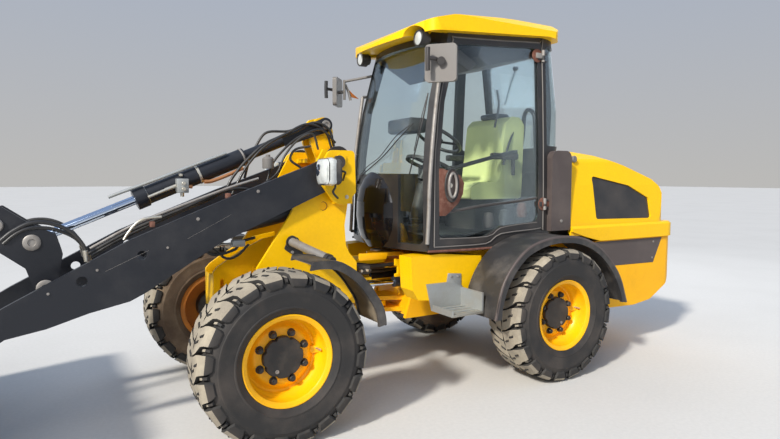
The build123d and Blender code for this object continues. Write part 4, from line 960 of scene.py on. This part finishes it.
steering_ring = [steering(tau * i / STEERING_STEPS, STEERING_RADIUS) for i in range(STEERING_STEPS + 1)]
tube("steering_wheel", steering_ring, 14, BLACK, REAR, 4, 12)
for i, a in enumerate((0.5, 2.6, 4.7)):
    tube(f"steering_spoke_{i}",
         [steering(a, 0, 0.02), steering(a, 0.1, 0.012), steering(a, STEERING_RADIUS)], 10, BLACK, REAR, 4)
lathe("steering_boss", [(0, 12), (34, 8), (44, 0), (40, -60), (0, -60)], STEERING_AT, STEERING_AXIS, BLACK,
      REAR, 28)
rod("steering_column", steering(0, 0, 0.05), P(-400, 0, 1440), 34, PLASTIC, REAR)
box("dashboard", -350, -190, -170, 170, 1790, 1900, PLASTIC, REAR, 24)
box("side_console", -1150, -640, -420, -300, 1180, 1560, RUBBER, REAR, 22)
tube("joystick", [P(-760, -350, 1560), P(-740, -350, 1640), P(-735, -350, 1700)], 14, RUBBER, REAR)
lathe("joystick_knob", [(0, 0), (26, 4), (32, 30), (26, 60), (0, 70)], P(-735, -350, 1690), (0.1, 0, 1),
      BLACK, REAR, 24)
SEAT_HOOP = [
    (-1290, 120, 1560), (-1330, 130, 1800), (-1325, 150, 1960), (-1300, 220, 2010), (-1290, 300, 1960),
    (-1290, 320, 1780), (-1290, 330, 1560),
]
tube("seat_hoop", on_side(1, SEAT_HOOP), 18, BLACK, REAR, 8, 12)
tube("seat_belt_strap", [P(-1130, 235, 1830), P(-1050, 262, 1700), P(-1000, 268, 1560)], 9, BLACK, REAR)
tube("cab_lever_1", [P(-930, 240, 1850), P(-960, 250, 2020), P(-940, 250, 2140)], 9, BLACK, REAR)
slab_xz("headliner", [(-648, 2452), (-1330, 2452), (-1300, 2415), (-698, 2275), (-600, 2330)], -430, 430,
        GREY, REAR, 10)
slab_xz("sun_blind", [(-250, 2390), (-420, 2400), (-640, 2290), (-560, 2230)], -420, 380, GREY, REAR, 8)
for i, (x, y, z) in enumerate([
    (-1180, 330, 1180), (-1100, 380, 1150), (-900, 400, 1100), (-760, 380, 1080),
]):
    lathe(f"floor_pot_{i}", [(0, 0), (36, 0), (42, 60), (30, 110), (0, 120)], P(x, y, z), (0, 0, 1),
          (IRON, RUST, IRON, GREY)[i], REAR, 20)
box("right_trim", -1180, -250, -500, -486, 1000, 1490, RUBBER, REAR, 6)
box("cab_mat", -1180, -200, -440, 440, 1040, 1052, RUBBER, REAR, 4)
for side, y in (("left", 60), ("right", -130)):
    box(f"pedal_{side}", -330, -250, y, y + 70, 1130, 1150, RUBBER, REAR, 6)

# Hood, counterweight and rear
disc("hood_knob", on("hood", -1496, 640, 1606, FROM_LEFT), (0, 1, 0),
     [(0, 0), (16, 0), (16, 14), (26, 18), (27, 34), (20, 40), (0, 40)], PALE, HOOD, 28)
disc("cover_bolt", on("cab_cover", -1299, 640, 1126, FROM_LEFT), (0, 1, 0), head(12, 7, 9), STEEL, REAR, 20)
for side, sy in SIDES:
    for i, (x, z) in enumerate([(-1700, 905), (-2440, 905), (-1790, 765), (-2430, 765)]):
        disc(f"panel_bolt_{side}_{i}", on("side_panels", x, sy * 640, z, (0, -sy, 0)), (0, sy, 0),
             head(9, 4, 6), STEEL, REAR, 16)
    at = on("counterweight", -2800, sy * 430, 880, FROM_BACK)
    box(f"tail_lamp_{side}", local_x(at) - 26, local_x(at) + 20, sy * 360, sy * 510, 845, 925, BLACK, REAR,
        8)
    for i, (y0, y1, mat) in enumerate([(368, 410, AMBER), (414, 460, RED), (464, 504, LAMP)]):
        box(f"tail_lens_{side}_{i}", local_x(at) - 33, local_x(at) - 20, sy * y0, sy * y1, 853, 917, mat,
            REAR, 5)
plate_at = on("counterweight", -2800, 0, 830, FROM_BACK)
box("rear_plate", local_x(plate_at) - 8, local_x(plate_at) + 4, -260, 260, 770, 880, PALE, REAR, 3)
TOW_X, TOW_RING_Z, TOW_RING_R, TOW_RING_STEPS = -2700, 700, 24, 12
rod("tow_pin", P(TOW_X, 0, 562), P(TOW_X, 0, 672), 15.4, STEEL, REAR)
rod("tow_pin_head", P(TOW_X, 0, 661), P(TOW_X, 0, 678), 26, STEEL, REAR)
tow_turns = [tau * i / TOW_RING_STEPS for i in range(TOW_RING_STEPS + 1)]
tow_ring = [(TOW_RING_R * cos(a), TOW_RING_R * sin(a)) for a in tow_turns]
tube("tow_pin_ring", [P(TOW_X + u, v * 0.3, TOW_RING_Z + v) for u, v in tow_ring], 4, STEEL, REAR, 3, 8)
rod("exhaust", P(-2250, -330, 1420), P(-2250, -330, 1640), 32, STEEL, HOOD, 28)

# Steps: ribbed treads, folded edges, bolts
STEP_RIBS, STEP_RIB_PITCH = 7, 32
for side, sy in SIDES:
    for k in range(STEP_RIBS):
        y = 560 + k * STEP_RIB_PITCH
        box(f"step_rib_{side}_{k}", -372, -138, sy * y, sy * (y + 14), 562, 566, ZINC, REAR, 1.5)
    for k in range(3):
        box(f"step_lip_{side}_{k}", -383, -129, sy * 783, sy * (790 - k), 549 + 6 * k, 552 + 6 * k, ZINC,
            REAR, 1)
    slab_xz(f"step_back_{side}", [(-378, 690), (-376, 786), (-262, 796), (-250, 730)], sy * 546, sy * 552,
            GALV, REAR, 2)
    for k, (x, z) in enumerate([(-350, 768), (-290, 772)]):
        disc(f"step_bolt_{side}_{k}", P(x, sy * 552, z), (0, sy, 0), head(9, 5, 7), STEEL, REAR, 12)

# Rounded outer edges of the fenders, a lighter grey than the fenders: partly worn plastic, partly a painted
# highlight along the edge
REAR_ARCH = [
    (-398, 520), (-470, 770), (-640, 958), (-830, 1030), (-1050, 1044), (-1250, 1010), (-1440, 908),
    (-1612, 722), (-1705, 510),
]
for side, sy in SIDES:
    tube(f"fender_bead_rear_{side}", [P(x, sy * 896, z - 4) for x, z in REAR_ARCH], 11, GREY, REAR, 6, 12)
    tube(f"fender_bead_front_{side}", [P(x, sy * 914, z - 4) for x, z in ARCH], 7, GREY, FRONT, 6, 12)

# Articulation recess plate, whose orange is a painted shade on yellow paint, and underside
box("recess_plate", -720, -560, 274, 284, 690, 800, ORANGE_AND_PAINTED_SHADE, REAR, 4)
tube("brake_pipe_left", [P(-500, 262, 620), P(-700, 262, 600), P(-900, 262, 640), P(-1000, 240, 700)], 7,
     RUBBER, REAR)
DIFF_BOLTS, DIFF_CIRCLE = 10, 100
for place, x, body in (("front", AXLE_X, FRONT), ("rear", -AXLE_X, REAR)):
    disc(f"diff_cover_{place}", P(x - 150, 0, WHEEL_Z), (-1, 0, 0),
         [(0, 18), (70, 14), (110, 4), (118, 0), (0, 0)], AXLE, body)
    for k in range(DIFF_BOLTS):
        a = tau * k / DIFF_BOLTS
        bolt = P(x - 152, DIFF_CIRCLE * cos(a), WHEEL_Z + DIFF_CIRCLE * sin(a))
        disc(f"diff_bolt_{place}_{k}", bolt, (-1, 0, 0), head(9, 8, 8), ZINC, body, 6)


# Floor, in metres, and light
FLOOR_HALF = 90
floor_mesh = bpy.data.meshes.new("floor")
floor_corners = [(x * FLOOR_HALF, y * FLOOR_HALF, 0) for x, y in ((-1, -1), (1, -1), (1, 1), (-1, 1))]
floor_mesh.from_pydata(floor_corners, [], [(0, 1, 2, 3)])
floor = new_object("floor", floor_mesh)
floor.data.materials.append(material("floor", (0.62, 0.61, 0.59), 0.8, (0.5, 0.49, 0.47), 0.3, 0.6, grain=40,
                                     bump=0.1))

# A pale horizon that turns blue overhead
HORIZON, ZENITH, SKY_TOP, SKY_POWER = (0.80, 0.79, 0.77), (0.52, 0.66, 0.92), 0.55, 0.62
world = bpy.data.worlds.new("world")
bpy.context.scene.world = world
add = shader_nodes(world)
direction = add("TexCoord", {}).outputs["Generated"]
height = add("SeparateXYZ", {0: direction}).outputs[2]
sky = add("ValToRGB", {0: height})
for stop, place, rgb in zip(sky.color_ramp.elements, (0, SKY_TOP), (HORIZON, ZENITH)):
    stop.position = place
    stop.color = (*rgb, 1)
sky_light = add("Background", {0: sky.outputs[0], 1: SKY_POWER})
add("OutputWorld", {0: sky_light.outputs[0]})


def lamp(name, kind, energy, rgb, way):
    data = bpy.data.lights.new(name, kind)
    data.energy = energy
    data.color = rgb
    obj = new_object(name, data)
    obj.rotation_euler = Vector(way).to_track_quat("-Z", "Y").to_euler()
    return obj


sun = lamp("sun", "SUN", 4.3, (1.0, 0.95, 0.86), (-0.74, -0.34, -0.58))
sun.data.angle = radians(5)
# Soft fills: place and what they look at in metres, power and colour
FILL_SIZE = 5
for name, at, to, power, rgb in (
    ("fill_front", (7, 7, 7), (-0.5, 0, 1), 330, (1, 0.98, 0.95)),
    ("fill_back", (-6, -4, 5), (-1, 0, 1), 120, (0.9, 0.95, 1)),
):
    fill = lamp(name, "AREA", power, rgb, Vector(to) - Vector(at))
    fill.data.size = FILL_SIZE
    fill.location = at

bpy.context.scene.view_settings.view_transform = "Standard"
